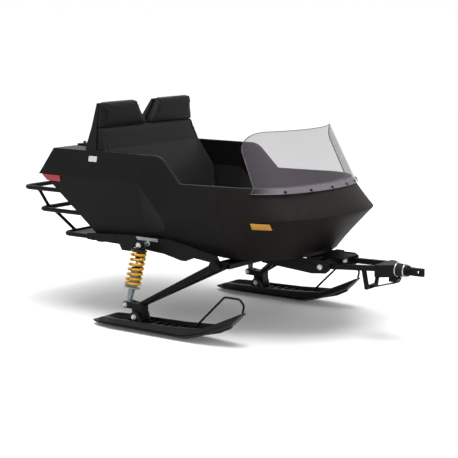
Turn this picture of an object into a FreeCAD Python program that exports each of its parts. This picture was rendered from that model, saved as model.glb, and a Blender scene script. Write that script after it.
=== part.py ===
"""Two-seat passenger sleigh on skis, towed behind a snow machine.

Millimetres. +X points forward to the hitch, +Y to the left and +Z up. The origin lies on the ground,
midway between the rear of the luggage rack and the tip of the hitch, on the centre plane.
"""
import FreeCAD, Part
import Sketcher
import operator
import os
from math import cos, radians, sin, sqrt, tan
from types import SimpleNamespace
from FreeCAD import Placement, Rotation, Vector

os.makedirs("parts", exist_ok=True)
doc = FreeCAD.newDocument("sleigh")

# ---------------------------------------------------------------- driving dimensions
# Names in _x and _z are stations and heights from the origin; _half is half a width.
SIZES = {
    # shared: clearance between pieces at rest, running clearance, and how far cutting shapes overrun
    "seat_gap": 0.3, "running_gap": 0.05, "past": 5, "beyond": 100,
    # hull
    "belly_height": 402, "keel_height": 450, "chine_height": 757, "chine_front_height": 588,
    "deck_height": 900, "rail_height": 767, "loft_top": 930,
    "bottom_half": 405, "belly_half": 385, "chine_half": 474, "gunwale_half": 444,
    "hull_wall": 22, "lip_x": -955, "lip_under": 33, "deck_rear_x": -869, "keel_rear_x": -605,
    "chine_drop_x": -254, "chine_low_x": -102, "belly_x": 229, "bow_x": 270,
    "step_top_x": -131, "step_low_x": 1, "step_top_round": 100, "step_low_round": 22,
    "bow_over": 25, "chine_tilt": 3.15, "rail_tilt": 1.16, "bow_rake": 47.8,
    "belly_front_x": 566, "chine_front_x": 792, "gunwale_front_x": 634,
    "belly_corner": 260, "belly_crown": 700, "chine_corner": 330, "chine_crown": 560,
    "bow_corner": 260, "bow_crown": 800,
    "bulkhead_x": -640, "trunk_front_x": -662, "trunk_half": 395, "trunk_floor": 560, "trunk_low_x": -675,
    "hatch_half": 235, "hatch_rear_x": -845, "hatch_front_x": -700,
    # windscreen
    "screen_sheet": 4, "screen_gap": 0.8, "screen_top": 1045, "screen_half": 397,
    "screen_front_x": 476, "screen_corner": 140, "screen_crown": 560, "screen_rear_x": 447,
    "screen_top_rear_x": 320, "screen_round": 70, "screen_from_x": 200, "flange_drop": 27,
    "flange_rear_x": 435,
    # seat
    "seat_half": 372, "cushion_half": 398, "seat_wall": 12, "seat_rear_x": -440, "seat_front_x": 55,
    "riser_front_x": 30, "riser_foot_x": -122, "riser_band": 60, "seat_riser": 560, "seat_top": 640,
    "cushion_gap": 2, "back_gap": 34, "back_low_half": 380, "head_half": 386, "head_over": 6,
    "head_taper": 8, "head_lean": 6, "head_top": 1155, "head_seam": 1020, "shell_notch": 86,
    "pad_notch": 100, "notch_low": 1030, "pad_split": 20, "split_top": 26, "split_rise": 10,
    "shell_under": 6,
    "shell_knee": 30, "shell_foot": 20, "shell_narrow": 6, "waist_x": -526, "waist_over": 5,
    "back_front_x": -565, "back_pad": 60, "lumbar_x": -425, "lumbar_z": 768, "pad_round": 22,
    "head_round": 22, "pad_gap": 0.4, "pad_side": 4, "head_pad": 38, "back_panel": 14,
    "mat_half": 330, "mat_rear_x": 239, "mat_front_x": 470, "mat_sheet": 6, "mat_corner": 75,
    # lid on the rear deck
    "lid_half": 260, "lid_rear_x": -862, "lid_sheet": 10, "lid_hinge_x": -678, "lid_pin": 8,
    "lid_run": 3, "hinge_mid": 170, "knuckle_half": 15, "knuckle_gap": 0.5, "strap_sheet": 4,
    "strap_long": 12, "leaf_long": 6, "latch_in": 6, "latch_long": 40, "latch_half": 22,
    "latch_tall": 14, "latch_round": 5,
    # reflectors
    "lens_thick": 6, "lens_in": 300, "amber_x": 457, "amber_long": 91, "amber_z": 577,
    "amber_tall": 32, "red_long": 155, "red_z": 724, "red_tall": 32,
    # frame: side plates, cross tubes and the two beams that carry the tongue
    "rail_out": 440, "rail_plate": 12, "rail_rear_x": -640, "rail_rear_z": 418, "rail_rear_tall": 35,
    "rail_rear_drop": 4,
    "tab_x": -365, "tab_half": 30, "tab_run": 19, "tab_z": 384, "tab_top_z": 408,
    "rail_top_z": 472, "rail_top_rear_x": -330, "rail_top_front_x": -66, "rail_mid_x": -109,
    "rail_mid_z": 393, "sag_x": 15, "sag_half": 15, "sag_z": 370, "arch_x": 85, "arch_z": 392,
    "rail_low_x": 190, "rail_low_z": 381, "rail_nose": 58, "nose_over": 2, "nose_half": 20,
    "nose_under": 25, "belly_notch_x": 243, "belly_notch_z": 418, "belly_notch_run": 16,
    "tube": 40, "tube_wall": 3, "rear_cross_x": -560, "middle_cross_x": -235, "front_cross_top": 381,
    "front_cross_tall": 25, "cross_gap": 2, "pivot_x": 235, "pivot_height": 373, "pivot_tube": 34,
    "pivot_half": 482, "beam_mid": 140, "beam_plate": 12, "beam_top": 401, "beam_low": 351,
    "beam_nose": 53, "beam_chin": 31, "beam_throat": 51, "beam_under": 39, "beam_tip_under": 14,
    "beam_tip_over": 22, "root_plate": 6, "root_half": 78,
    "root_rear": 14, "root_neck": 34, "root_step": 10, "root_nose": 86, "root_round": 28,
    "root_tube_rear": 84,
    "root_tube_wide": 30, "root_tube_tall": 40, "root_tube_low": 336,
    # rear rack
    "rack_tube": 25, "rack_half": 380, "rack_bend": 45, "rack_low_x": -830, "rack_low_z": 430,
    "rack_mid_x": -1042, "rack_mid_z": 544, "rack_top_x": -1158.5, "rack_top_z": 658,
    "rack_mid_front_x": -635, "rack_top_front_x": -725, "rack_sheet": 5, "strut_tube": 18,
    "strut_high": 110, "strut_high_in": 75, "strut_low": 115, "strut_low_in": 62,
    # running gear
    "ski_mid": 550, "arm_tube": 31, "arm_out": 466, "arm_in": 212, "apex_x": -175,
    "apex_height": 136, "sleeve_wall": 8, "sleeve_half": 15, "web_sheet": 6, "web_hole": 28,
    "ski_pivot_x": -186, "ski_pivot_z": 76, "ski_bolt": 12.7, "bracket_rear": 29,
    "bracket_front": 36, "bracket_under": 22, "bracket_over": 8, "fork_half": 28, "ear_half": 18,
    "fork_plate": 6, "shock_in": 48, "shock_top_x": -216, "shock_top_z": 437, "shock_low_x": -258,
    "shock_low_z": 132, "shock_eye": 34, "shock_eye_half": 16, "shock_bolt": 12, "nut_over": 5,
    "nut_tall": 8, "thread_past": 2, "shock_body": 44, "shock_body_top_z": 317, "neck_top": 38,
    "neck_foot": 26, "shock_rod": 14, "spring_out": 86, "spring_wire": 15.2, "spring_turns": 7,
    "spring_top_z": 408, "spring_low_z": 222, "spring_gap": 0.2, "perch_sheet": 7, "perch_in": 1,
    # skis
    "ski_half": 75, "ski_rear_x": -480, "ski_front_x": 470, "ski_tip_z": 172, "ski_base": 8,
    "ski_deck": 62, "ski_rim": 12, "ski_floor": 36, "ski_bend": 300, "toe_bend": 350, "toe_lip": 5,
    "heel_rise": 46, "heel_up": 14, "heel_under": 6, "rim_rear": 93, "rim_low": 410, "rim_mid": 204,
    "rim_mid_up": 18, "rim_rear_down": 4, "channel_rear": 60, "channel_bend": 300, "toe_knee": 72,
    "toe_knee_z": 101, "toe_floor": 14,
    "channel_toe": 18, "channel_toe_down": 14,
    "heel_half": 30, "heel_long": 150, "toe_half": 27, "toe_long": 285, "sole_half": 42,
    "sole_rise": 20, "ear_out": 46, "ear_plate": 14, "ear_foot": 40, "ear_crown": 26, "ear_over": 29,
    "runner_half": 6, "runner_rear": 192, "runner_front": 345, "runner_ramp": 25, "bolt_head": 9,
    "loop_tube": 11, "loop_rear": 330, "loop_top": 110, "loop_z": 243, "loop_bend": 28,
    "loop_shoulder": 19, "loop_over": 9, "loop_drop": 28, "loop_foot": 3,
    # tongue and hitch
    "tongue_pivot_x": 659, "tongue_pivot_z": 366, "tongue_tube": 26, "tongue_rear_half": 112,
    "tongue_front_half": 72, "tongue_z": 380, "pivot_bolt": 16, "boss_half": 14, "boss_wall": 9,
    "nut_gap": 1,
    "lug_rear": 36, "lug_wide": 22, "lug_in": 84, "lug_out": 98, "lug_tall": 26,
    "head_x": 938, "head_front_x": 1018, "head_below": 43, "head_above": 19, "head_side": 13,
    "head_nose_half": 34, "head_shoulder": 22,
    "skid_bar": 18, "skid_sheet": 5, "skid_x": 874, "skid_z": 270, "skid_half": 46, "skid_spread": 36,
    "strap_run": 103, "strap_up": 22, "cheek_rear": 33, "cheek_under": 40, "cheek_mid": 28,
    "cheek_over": 8, "strap_nose": 18, "hitch_z": 371, "shaft_out": 26, "bushing_out": 66,
    "ring_over": 3, "ring_sheet": 5.7, "ring_apart": 46, "shaft_nut": 15.7, "shaft_rear": 22,
    "collar_over": 15, "collar_long": 14, "step_over": 7, "step_long": 10, "hitch_tip_x": 1171,
    "eye_out": 26, "eye_bore": 13, "eye_tall": 38, "tab_plate": 9, "tab_gap": 2, "slot_long": 30,
}


class Size(float):
    """A number that remembers the sheet formula it came from."""

    def __new__(cls, value, text=None):
        made = float.__new__(cls, value)
        made.text = text or format(float(value), ".9g")
        return made


def formula(sign, work, swapped=False):
    """One arithmetic operation on sizes: the value and the formula grow together."""
    def method(self, other):
        pair = (other, self) if swapped else (self, other)
        one, two = (item if isinstance(item, Size) else Size(item) for item in pair)
        return Size(work(float(one), float(two)), f"({one.text} {sign} {two.text})")
    return method


for word, sign, work in (("add", "+", operator.add), ("sub", "-", operator.sub),
                         ("mul", "*", operator.mul), ("truediv", "/", operator.truediv)):
    setattr(Size, f"__{word}__", formula(sign, work))
    setattr(Size, f"__r{word}__", formula(sign, work, swapped=True))
Size.__neg__ = lambda self: self * -1


def rise(angle):
    """Height gained per unit of length on a slope of this many degrees."""
    return Size(tan(radians(angle)), f"tan({angle.text} * 1 deg)")


def slant(angle):
    """Sloping length per unit of level length."""
    return Size(1 / cos(radians(angle)), f"(1 / cos({angle.text} * 1 deg))")


sheet = doc.addObject("Spreadsheet::Sheet", "Sizes")
for line, (alias, value) in enumerate(SIZES.items(), start=1):
    sheet.set(f"A{line}", alias)
    sheet.set(f"B{line}", str(value))
    sheet.setAlias(f"B{line}", alias)
doc.recompute()
d = SimpleNamespace(**{alias: Size(sheet.get(alias), f"Sizes.{alias}") for alias in SIZES})
SIDES = {"left": 1, "right": -1}
NODES = []


# ---------------------------------------------------------------- helpers
def bind(thing, field, size):
    """Set a property to a size and tie it to the size's formula."""
    size = size if isinstance(size, Size) else Size(size)
    if not field.startswith("Placement") and not field.startswith("AttachmentOffset"):
        setattr(thing, field, float(size))
    thing.setExpression(field, size.text)


def place(thing, x=0, y=0, z=0):
    """Tie a feature's position to three sizes."""
    for letter, size in zip("xyz", (x, y, z)):
        bind(thing, f"Placement.Base.{letter}", size)
    return thing


def node(thing, label):
    """Give a finished sub-part its name and list it for export."""
    thing.Label = label
    NODES.append(thing)
    return thing


def datum(sketch, kind, value, *where):
    """Add one dimension to a sketch and tie it to a size."""
    value = value if isinstance(value, Size) else Size(value)
    index = sketch.addConstraint(Sketcher.Constraint(kind, *where, float(value)))
    sketch.setExpression(f"Constraints[{index}]", value.text)


def polygon(sketch, corners, holes=()):
    """A closed outline, each corner held by its two coordinates, with round holes (x, y, radius)."""
    places = [Vector(float(x), float(y), 0) for x, y in corners]
    for one, two in zip(places, places[1:] + places[:1]):
        sketch.addGeometry(Part.LineSegment(one, two))
    for index, (x, y) in enumerate(corners):
        sketch.addConstraint(Sketcher.Constraint("Coincident", index - 1 if index else len(corners) - 1, 2,
                                                 index, 1))
        datum(sketch, "DistanceX", x, -1, 1, index, 1)
        datum(sketch, "DistanceY", y, -1, 1, index, 1)
    for x, y, radius in holes:
        index = sketch.addGeometry(Part.Circle(Vector(float(x), float(y), 0), Vector(0, 0, 1), float(radius)))
        datum(sketch, "DistanceX", x, -1, 1, index, 3)
        datum(sketch, "DistanceY", y, -1, 1, index, 3)
        datum(sketch, "Radius", radius, index)
    return sketch


def plate(label, role, corners, low, high, holes=()):
    """A body padded from one outline on an origin plane, from low to high along the plane's axis."""
    body = doc.addObject("PartDesign::Body", label)
    plane = next(item for item in body.Origin.OriginFeatures if item.Role == role)
    sketch = body.newObject("Sketcher::SketchObject", f"{label}_outline")
    sketch.AttachmentSupport = (plane, [""])
    sketch.MapMode = "FlatFace"
    bind(sketch, "AttachmentOffset.Base.z", -high if role == "XZ_Plane" else low)
    polygon(sketch, corners, holes)
    pad = body.newObject("PartDesign::Pad", f"{label}_pad")
    pad.Profile = sketch
    bind(pad, "Length", high - low)
    body.Tip = pad
    doc.recompute()
    return body


def rounded(body, radius, test):
    """Round the edges of a body's last feature that pass a test on their middle point and direction."""
    base = body.Tip
    names = [f"Edge{number}" for number, edge in enumerate(base.Shape.Edges, start=1)
             if test(edge.BoundBox.Center, edge)]
    fillet = body.newObject("PartDesign::Fillet", f"{body.Name}_round")
    fillet.Base = (base, names)
    bind(fillet, "Radius", radius)
    body.Tip = fillet
    doc.recompute()
    return body


def along(letter):
    """A test for edges that run along one axis."""
    def test(middle, edge):
        box = edge.BoundBox
        spans = {"x": box.XLength, "y": box.YLength, "z": box.ZLength}
        return spans[letter] > 0.5 and sum(spans.values()) - spans[letter] < 0.01
    return test


TURNS = {"x": Rotation(Vector(0, 1, 0), 90), "y": Rotation(Vector(1, 0, 0), -90), "z": Rotation()}


def rod(name, axis, x, y, z, radius, length):
    """A cylinder along one axis, from its start point."""
    made = doc.addObject("Part::Cylinder", name)
    made.Placement = Placement(Vector(), TURNS[axis])
    place(made, x, y, z)
    bind(made, "Radius", radius)
    bind(made, "Height", length)
    return made


def ring(name, axis, x, y, z, outer, inner, length):
    """A sleeve: one cylinder less another, open at both ends."""
    made = doc.addObject("Part::Cut", name)
    made.Base = rod(f"{name}_outer", axis, x, y, z, outer, length)
    made.Tool = rod(f"{name}_bore", axis, x, y, z, inner, length)
    return made


def block(name, x, y, z):
    """A box from three (low, high) pairs."""
    made = doc.addObject("Part::Box", name)
    place(made, x[0], y[0], z[0])
    for field, (low, high) in zip(("Length", "Width", "Height"), (x, y, z)):
        bind(made, field, high - low)
    return made


def fused(name, *things):
    """Solids joined into one."""
    made = doc.addObject("Part::MultiFuse", name)
    made.Shapes = list(things)
    made.Refine = True
    return made


def less(name, base, tool):
    """One solid less another."""
    made = doc.addObject("Part::Cut", name)
    made.Base = base
    made.Tool = tool
    made.Refine = True
    return made


def shared(name, one, two):
    """What two solids have in common."""
    made = doc.addObject("Part::MultiCommon", name)
    made.Shapes = [one, two]
    return made


def group(name, *things):
    """Like pieces that share a node without touching."""
    made = doc.addObject("Part::Compound", name)
    made.Links = list(things)
    return made


def shaped(name, shape):
    """A feature with a shape of its own, for bent tubes and coils."""
    made = doc.addObject("Part::Feature", name)
    made.Shape = shape
    made.Placement = Placement()
    return made


def bent_tube(name, points, radius, bend):
    """A round tube along straight runs joined by tangent arcs of one bend radius."""
    path = [Vector(*(float(part) for part in point)) for point in points]
    edges = []
    start = path[0]
    for before, corner, after in zip(path, path[1:], path[2:]):
        inward, outward = (before - corner).normalize(), (after - corner).normalize()
        half_turn = inward.getAngle(outward) / 2
        back = float(bend) / tan(half_turn)
        first, last = corner + inward * back, corner + outward * back
        middle = (inward + outward).normalize() * (float(bend) / sin(half_turn) - float(bend))
        edges.append(Part.LineSegment(start, first).toShape())
        edges.append(Part.Arc(first, corner + middle, last).toShape())
        start = last
    edges.append(Part.LineSegment(start, path[-1]).toShape())
    wire = Part.Wire(edges)
    circle = Part.Wire(Part.makeCircle(float(radius), path[0], path[1] - path[0]))
    return shaped(name, wire.makePipeShell([circle], True, True))


def strut(name, start, end, radius):
    """A straight round bar between two points."""
    one, two = (Vector(*(float(part) for part in point)) for point in (start, end))
    return shaped(name, Part.makeCylinder(float(radius), (two - one).Length, one, two - one))


def cone(name, start, end, start_radius, end_radius):
    """A straight bar that tapers from one point to the next."""
    one, two = (Vector(*(float(part) for part in point)) for point in (start, end))
    return shaped(name, Part.makeCone(float(start_radius), float(end_radius), (two - one).Length, one,
                                      two - one))


def ahead(start, end, share):
    """The point a share of the way from one point or size to another."""
    return start + (end - start) * share


# ---------------------------------------------------------------- hull
def level_sketch(name, height, x=0, tilt=None):
    """An empty sketch lying level, or tipped up towards the bow by a small angle."""
    sketch = doc.addObject("Sketcher::SketchObject", name)
    if tilt is not None:
        sketch.Placement = Placement(Vector(), Rotation(Vector(0, -1, 0), float(tilt)))
        bind(sketch, "Placement.Rotation.Angle", tilt)
        sketch.Placement = Placement(Vector(), Rotation(Vector(0, -1, 0), float(tilt)))
    return place(sketch, x, 0, height)


def opposite(point):
    """The same sketch point on the other side of the centre line."""
    return Vector(point.x, -point.y, 0)


def bow_outline(name, height, half, front, corner, crown, rear, start=0, tilt=None):
    """A level outline with straight sides and a blunt front of three tangent arcs."""
    sketch = level_sketch(name, height, start, tilt)
    stretch = slant(tilt) if tilt is not None else Size(1)
    front = (front - start) * stretch
    rear = (rear - start) * stretch
    side_y, corner_r, crown_r = float(half), float(corner), float(crown)
    crown_x = float(front) - crown_r
    corner_x = crown_x + sqrt((crown_r - corner_r) ** 2 - (side_y - corner_r) ** 2)
    lean = Vector(corner_x - crown_x, side_y - corner_r, 0).normalize()
    meet = Vector(crown_x, 0, 0) + lean * crown_r
    middle = Vector(corner_x, side_y - corner_r, 0) + (Vector(0, 1, 0) + lean).normalize() * corner_r
    side, end = Vector(corner_x, side_y, 0), Vector(float(rear), side_y, 0)
    # arcs drawn by three points run anticlockwise, so each starts at its lower end
    sketch.addGeometry(Part.LineSegment(opposite(end), opposite(side)))
    sketch.addGeometry(Part.Arc(opposite(side), opposite(middle), opposite(meet)))
    sketch.addGeometry(Part.Arc(opposite(meet), Vector(float(front), 0, 0), meet))
    sketch.addGeometry(Part.Arc(meet, middle, side))
    sketch.addGeometry(Part.LineSegment(side, end))
    sketch.addGeometry(Part.LineSegment(end, opposite(end)))
    for one, two in ((0, 1), (1, 2), (2, 3), (3, 4)):
        sketch.addConstraint(Sketcher.Constraint("Tangent", one, 2, two, 1))
    for one, two in ((4, 5), (5, 0)):
        sketch.addConstraint(Sketcher.Constraint("Coincident", one, 2, two, 1))
    sketch.addConstraint(Sketcher.Constraint("Equal", 1, 3))
    datum(sketch, "Radius", corner, 1)
    datum(sketch, "Radius", crown, 2)
    datum(sketch, "DistanceX", front - crown, -1, 1, 2, 3)
    datum(sketch, "DistanceY", 0, -1, 1, 2, 3)
    for index, point, y in ((0, 1, -half), (4, 2, half)):
        datum(sketch, "DistanceX", rear, -1, 1, index, point)
        datum(sketch, "DistanceY", y, -1, 1, index, point)
    sketch.addConstraint(Sketcher.Constraint("Horizontal", 0))
    sketch.addConstraint(Sketcher.Constraint("Horizontal", 4))
    return sketch


def cross_section(name, x, bottom, chine, top):
    """A six-cornered section across the hull, each level given as (half width, height)."""
    sketch = doc.addObject("Sketcher::SketchObject", name)
    sketch.Placement = Placement(Vector(), Rotation(Vector(1, 1, 1), 120))
    place(sketch, x, 0, 0)
    right = [(-half, height) for half, height in (bottom, chine, top)]
    left = [(half, height) for half, height in (top, chine, bottom)]
    return polygon(sketch, right + left)


def straight_outline(name, height, half, rear, front):
    """A level rectangle of the hull's rear."""
    sketch = level_sketch(name, height)
    return polygon(sketch, [(rear, -half), (front, -half), (front, half), (rear, half)])


def loft(name, *sections):
    """A solid with straight rulings from each outline to the next."""
    made = doc.addObject("Part::Loft", name)
    made.Sections = list(sections)
    made.Solid = True
    made.Ruled = True
    return made


def chine_at(x):
    """Height of the forward chine at a station."""
    return d.chine_front_height + (x - d.chine_low_x) * rise(d.chine_tilt)


def rail_at(x):
    """Height of the low gunwale at a station."""
    return d.rail_height + (x - d.step_low_x) * rise(d.rail_tilt)


# the sides lean in above the chine: half width lost per unit of height, rear and front
LEAN_REAR = (d.chine_half - d.gunwale_half) / (d.deck_height - d.chine_height)
LEAN_FRONT = (d.chine_half - d.gunwale_half) / (d.rail_height - d.chine_front_height)
BOW_RAKE = (d.chine_front_x - d.gunwale_front_x) / (rail_at(d.gunwale_front_x) - chine_at(d.chine_front_x))


def hull_form(name, grow, rear_face, top):
    """The hull's outside, moved outwards by grow (inwards if negative), up to a level top.

    rear_face lists the side view's points (x, z) up the rear, from the keel to the top.
    """
    keel = (d.bottom_half + grow, d.keel_height - grow)
    belly = (d.belly_half + grow, d.belly_height - grow)
    chine = d.chine_half + grow
    top_rear = (chine - LEAN_REAR * (top - d.chine_height), top)
    top_front = (chine - LEAN_FRONT * (top - d.chine_front_height), top)
    far = d.lip_x - d.beyond
    sides = loft(f"{name}_sides",
                 straight_outline(f"{name}_keel", keel[1], keel[0], far, d.chine_drop_x),
                 straight_outline(f"{name}_chine", d.chine_height, chine, far, d.chine_drop_x),
                 straight_outline(f"{name}_deck", top, top_rear[0], far, d.chine_drop_x))
    profile = rear_face + [(d.chine_drop_x, top), (d.chine_drop_x, keel[1])]
    rear = shared(f"{name}_rear", sides,
                  plate(f"{name}_profile", "XZ_Plane", profile, -chine - d.beyond, chine + d.beyond))
    middle = loft(f"{name}_middle",
                  cross_section(f"{name}_drop", d.chine_drop_x, keel, (chine, d.chine_height), top_rear),
                  cross_section(f"{name}_low", d.chine_low_x, keel, (chine, d.chine_front_height), top_rear),
                  cross_section(f"{name}_belly", d.belly_x, belly, (chine, chine_at(d.belly_x)), top_front),
                  cross_section(f"{name}_fore", d.bow_x, belly, (chine, chine_at(d.bow_x)), top_front))
    slope = slant(d.bow_rake)
    bow_top = rail_at(d.gunwale_front_x) + d.bow_over
    bow = loft(f"{name}_bow",
               bow_outline(f"{name}_bow_low", belly[1], belly[0], d.belly_front_x + grow,
                           d.belly_corner + grow, d.belly_crown + grow, d.bow_x),
               bow_outline(f"{name}_bow_chine", d.chine_front_height, chine,
                           d.chine_front_x + grow * slope, d.chine_corner + grow,
                           d.chine_crown + grow, d.bow_x, d.chine_low_x, d.chine_tilt),
               bow_outline(f"{name}_bow_top", bow_top,
                           chine - LEAN_FRONT * (bow_top - d.chine_front_height),
                           d.gunwale_front_x + grow * slope - BOW_RAKE * d.bow_over,
                           d.bow_corner + grow, d.bow_crown + grow, d.bow_x))
    return fused(name, rear, middle, bow)


# The hull is a double-skinned moulding: a chined tub with a level rear deck, open over the
# cockpit, with a closed luggage space behind the bulkhead that opens through a hatch in the deck.
rear_rake = (d.deck_rear_x - d.lip_x) / (d.deck_height - d.chine_height)
loft_rear_x = d.deck_rear_x + rear_rake * (d.loft_top - d.deck_height)
under_lip_x = d.lip_x + d.lip_under
inside_top = d.loft_top + d.past
outside = hull_form("hull_outside", Size(0),
                    [(d.keel_rear_x, d.keel_height), (under_lip_x, d.chine_height), (d.lip_x, d.chine_height),
                     (loft_rear_x, d.loft_top)], d.loft_top)
inside = hull_form("hull_inside", -d.hull_wall,
                   [(d.bulkhead_x, d.keel_height + d.hull_wall), (d.bulkhead_x, inside_top)], inside_top)

# side view under the gunwale: level deck, rounded step, and the low rail rising to the bow
far_rear = d.lip_x - d.beyond
sheer = plate("hull_sheer", "XZ_Plane",
              [(far_rear, d.belly_height - d.beyond), (d.chine_front_x, d.belly_height - d.beyond),
               (d.chine_front_x, rail_at(d.chine_front_x)), (d.step_low_x, d.rail_height),
               (d.step_top_x, d.deck_height), (far_rear, d.deck_height)],
              -d.chine_half - d.beyond, d.chine_half + d.beyond)
for corner_x, corner_round in ((d.step_top_x, d.step_top_round), (d.step_low_x, d.step_low_round)):
    rounded(sheer, corner_round, lambda middle, edge: along("y")(middle, edge)
            and abs(middle.x - float(corner_x)) < 1)

# the luggage space keeps the wall's thickness on the raked rear face
trunk_top = d.deck_height - d.hull_wall
face_run = (under_lip_x - d.keel_rear_x) / (d.chine_height - d.keel_height)
face_slant = Size(sqrt(1 + float(face_run) ** 2), f"sqrt(1 + {face_run.text} ^ 2)")
trunk = plate("hull_trunk", "XZ_Plane",
              [(d.trunk_front_x, d.trunk_floor), (d.trunk_front_x, trunk_top),
               (d.deck_rear_x + d.hull_wall, trunk_top),
               (under_lip_x + d.hull_wall * face_slant, d.chine_height), (d.trunk_low_x, d.trunk_floor)],
              -d.trunk_half, d.trunk_half)
hatch = block("hull_hatch", (d.hatch_rear_x, d.hatch_front_x), (-d.hatch_half, d.hatch_half),
              (trunk_top - d.past, d.deck_height + d.past))
shell = shared("hull_under_sheer", outside, sheer)
node(less("hull_shell", shell, fused("hull_hollow", inside, trunk, hatch)), "hull")
doc.recompute()


# ---------------------------------------------------------------- windscreen
# One bent sheet of clear polycarbonate, screwed round the outside of the bow by its lower band.
def screen_line(name, height, drop, grow):
    """The bow's outline at the low gunwale, or a drop below it, moved outwards by grow."""
    share = drop / (d.rail_height - d.chine_front_height)
    return bow_outline(name, height, d.gunwale_half + LEAN_FRONT * drop + grow,
                       d.gunwale_front_x + BOW_RAKE * drop + grow * slant(d.bow_rake),
                       ahead(d.bow_corner, d.chine_corner, share) + grow,
                       ahead(d.bow_crown, d.chine_crown, share) + grow,
                       d.bow_x, d.step_low_x, d.rail_tilt)


def screen_form(name, grow):
    """The windscreen's surface as a solid, moved outwards by grow."""
    top = bow_outline(f"{name}_top", d.screen_top + d.screen_round, d.screen_half + grow,
                      d.screen_front_x + grow, d.screen_corner + grow, d.screen_crown + grow,
                      d.screen_from_x)
    return loft(name, screen_line(f"{name}_low", d.rail_height - d.flange_drop, d.flange_drop, grow),
                screen_line(f"{name}_fold", d.rail_height, Size(0), grow), top)


flange_z = d.rail_height - d.flange_drop
screen_side = plate("screen_side", "XZ_Plane",
                    [(d.flange_rear_x, flange_z), (d.chine_front_x, flange_z),
                     (d.chine_front_x, d.screen_top), (d.screen_top_rear_x, d.screen_top),
                     (d.screen_rear_x, rail_at(d.screen_rear_x))],
                    -d.chine_half, d.chine_half)
rounded(screen_side, d.screen_round, lambda middle, edge: along("y")(middle, edge)
        and abs(middle.x - float(d.screen_top_rear_x)) < 1)
screen = less("screen_bent", screen_form("screen_outer", d.screen_gap + d.screen_sheet),
              screen_form("screen_inner", d.screen_gap))
node(shared("screen_trimmed", screen, screen_side), "windscreen")


# ---------------------------------------------------------------- seat
# A riser on the floor carries the cushion; a moulded shell behind the pads carries the back.
floor = d.keel_height + d.hull_wall + d.seat_gap
wall = d.seat_wall
riser = plate("seat_box", "XZ_Plane",
              [(d.seat_rear_x, floor), (d.riser_foot_x, floor),
               (d.riser_front_x, d.seat_riser - d.riser_band),
               (d.riser_front_x, d.seat_riser), (d.seat_rear_x, d.seat_riser)],
              -d.seat_half, d.seat_half)
riser_room = plate("seat_box_room", "XZ_Plane",
                   [(d.seat_rear_x + wall, floor - d.past), (d.riser_foot_x - wall * 2, floor - d.past),
                    (d.riser_front_x - wall, d.seat_riser - d.riser_band + d.past),
                    (d.riser_front_x - wall, d.seat_riser - wall),
                    (d.seat_rear_x + wall, d.seat_riser - wall)],
                   -d.seat_half + wall, d.seat_half - wall)
node(less("seat_box_cut", riser, riser_room), "seat_riser")
cushion_rear_x = d.seat_rear_x + d.cushion_gap
cushion = plate("seat_cushion", "XY_Plane",
                [(cushion_rear_x, -d.cushion_half), (d.seat_front_x, -d.cushion_half),
                 (d.seat_front_x, d.cushion_half), (cushion_rear_x, d.cushion_half)],
                d.seat_riser + d.seat_gap, d.seat_top)
node(rounded(cushion, d.pad_round, lambda middle, edge: middle.z > float(d.seat_top) - 1), "seat_cushion")

# side view of the seat back: front faces of the pads, and the shell's line behind them
back_half = d.chine_half - d.hull_wall - d.back_gap
waist_z = d.deck_height + d.waist_over
knee_z = d.seat_riser + d.shell_knee
waist_rear_x = d.waist_x - d.back_pad
head_rear_x = d.back_front_x - d.head_pad
shell_top_x = head_rear_x + d.head_lean
shell_top_z = d.head_top - d.shell_under
foot_x = d.bulkhead_x - d.shell_foot
shell_side = [(d.bulkhead_x + d.seat_gap, floor), (d.seat_rear_x - d.seat_gap, floor),
              (d.seat_rear_x - d.seat_gap, knee_z), (waist_rear_x, waist_z), (head_rear_x, d.head_seam),
              (shell_top_x, shell_top_z), (shell_top_x - d.back_panel, shell_top_z),
              (foot_x, d.deck_height + d.shell_foot), (foot_x, d.deck_height + d.seat_gap),
              (d.bulkhead_x + d.seat_gap, d.deck_height + d.seat_gap)]
shell_half = [(back_half, floor), (back_half, d.deck_height), (d.head_half + d.head_over, d.head_seam),
              (d.head_half - d.head_taper, d.head_top), (d.shell_notch, d.head_top), (Size(0), d.notch_low)]
shell_front = shell_half + [(-y, z) for y, z in reversed(shell_half[:-1])]
shell_block = shared("seat_shell_block",
                     plate("seat_shell_side", "XZ_Plane", shell_side, -back_half, back_half),
                     plate("seat_shell_front", "YZ_Plane", shell_front, foot_x - d.beyond, d.seat_front_x))
shell_room = plate("seat_shell_pocket", "XZ_Plane",
                   [(d.bulkhead_x + wall, floor - d.past), (d.seat_rear_x - wall, floor - d.past),
                    (d.seat_rear_x - wall, knee_z - d.past), (waist_rear_x - wall, d.deck_height - wall),
                    (d.bulkhead_x + wall, d.deck_height - wall)],
                   -d.mat_half, d.mat_half)
# below the chine the shell narrows with the hull's inner face
narrow = d.bottom_half - d.hull_wall - d.shell_narrow
shell_sides = less("seat_shell_sides",
                   block("seat_shell_wide", (foot_x - d.past, d.seat_front_x),
                         (-back_half - d.beyond, back_half + d.beyond), (floor - d.past, d.deck_height)),
                   plate("seat_shell_room", "YZ_Plane",
                         [(-narrow, floor - d.past), (narrow, floor - d.past), (back_half, d.chine_height),
                          (back_half, d.deck_height + d.past), (-back_half, d.deck_height + d.past),
                          (-back_half, d.chine_height)],
                         foot_x - d.beyond, d.seat_front_x + d.past))
node(less("seat_shell_cut", less("seat_shell_hollow", shell_block, shell_room), shell_sides),
     "seat_back_shell")

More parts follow.
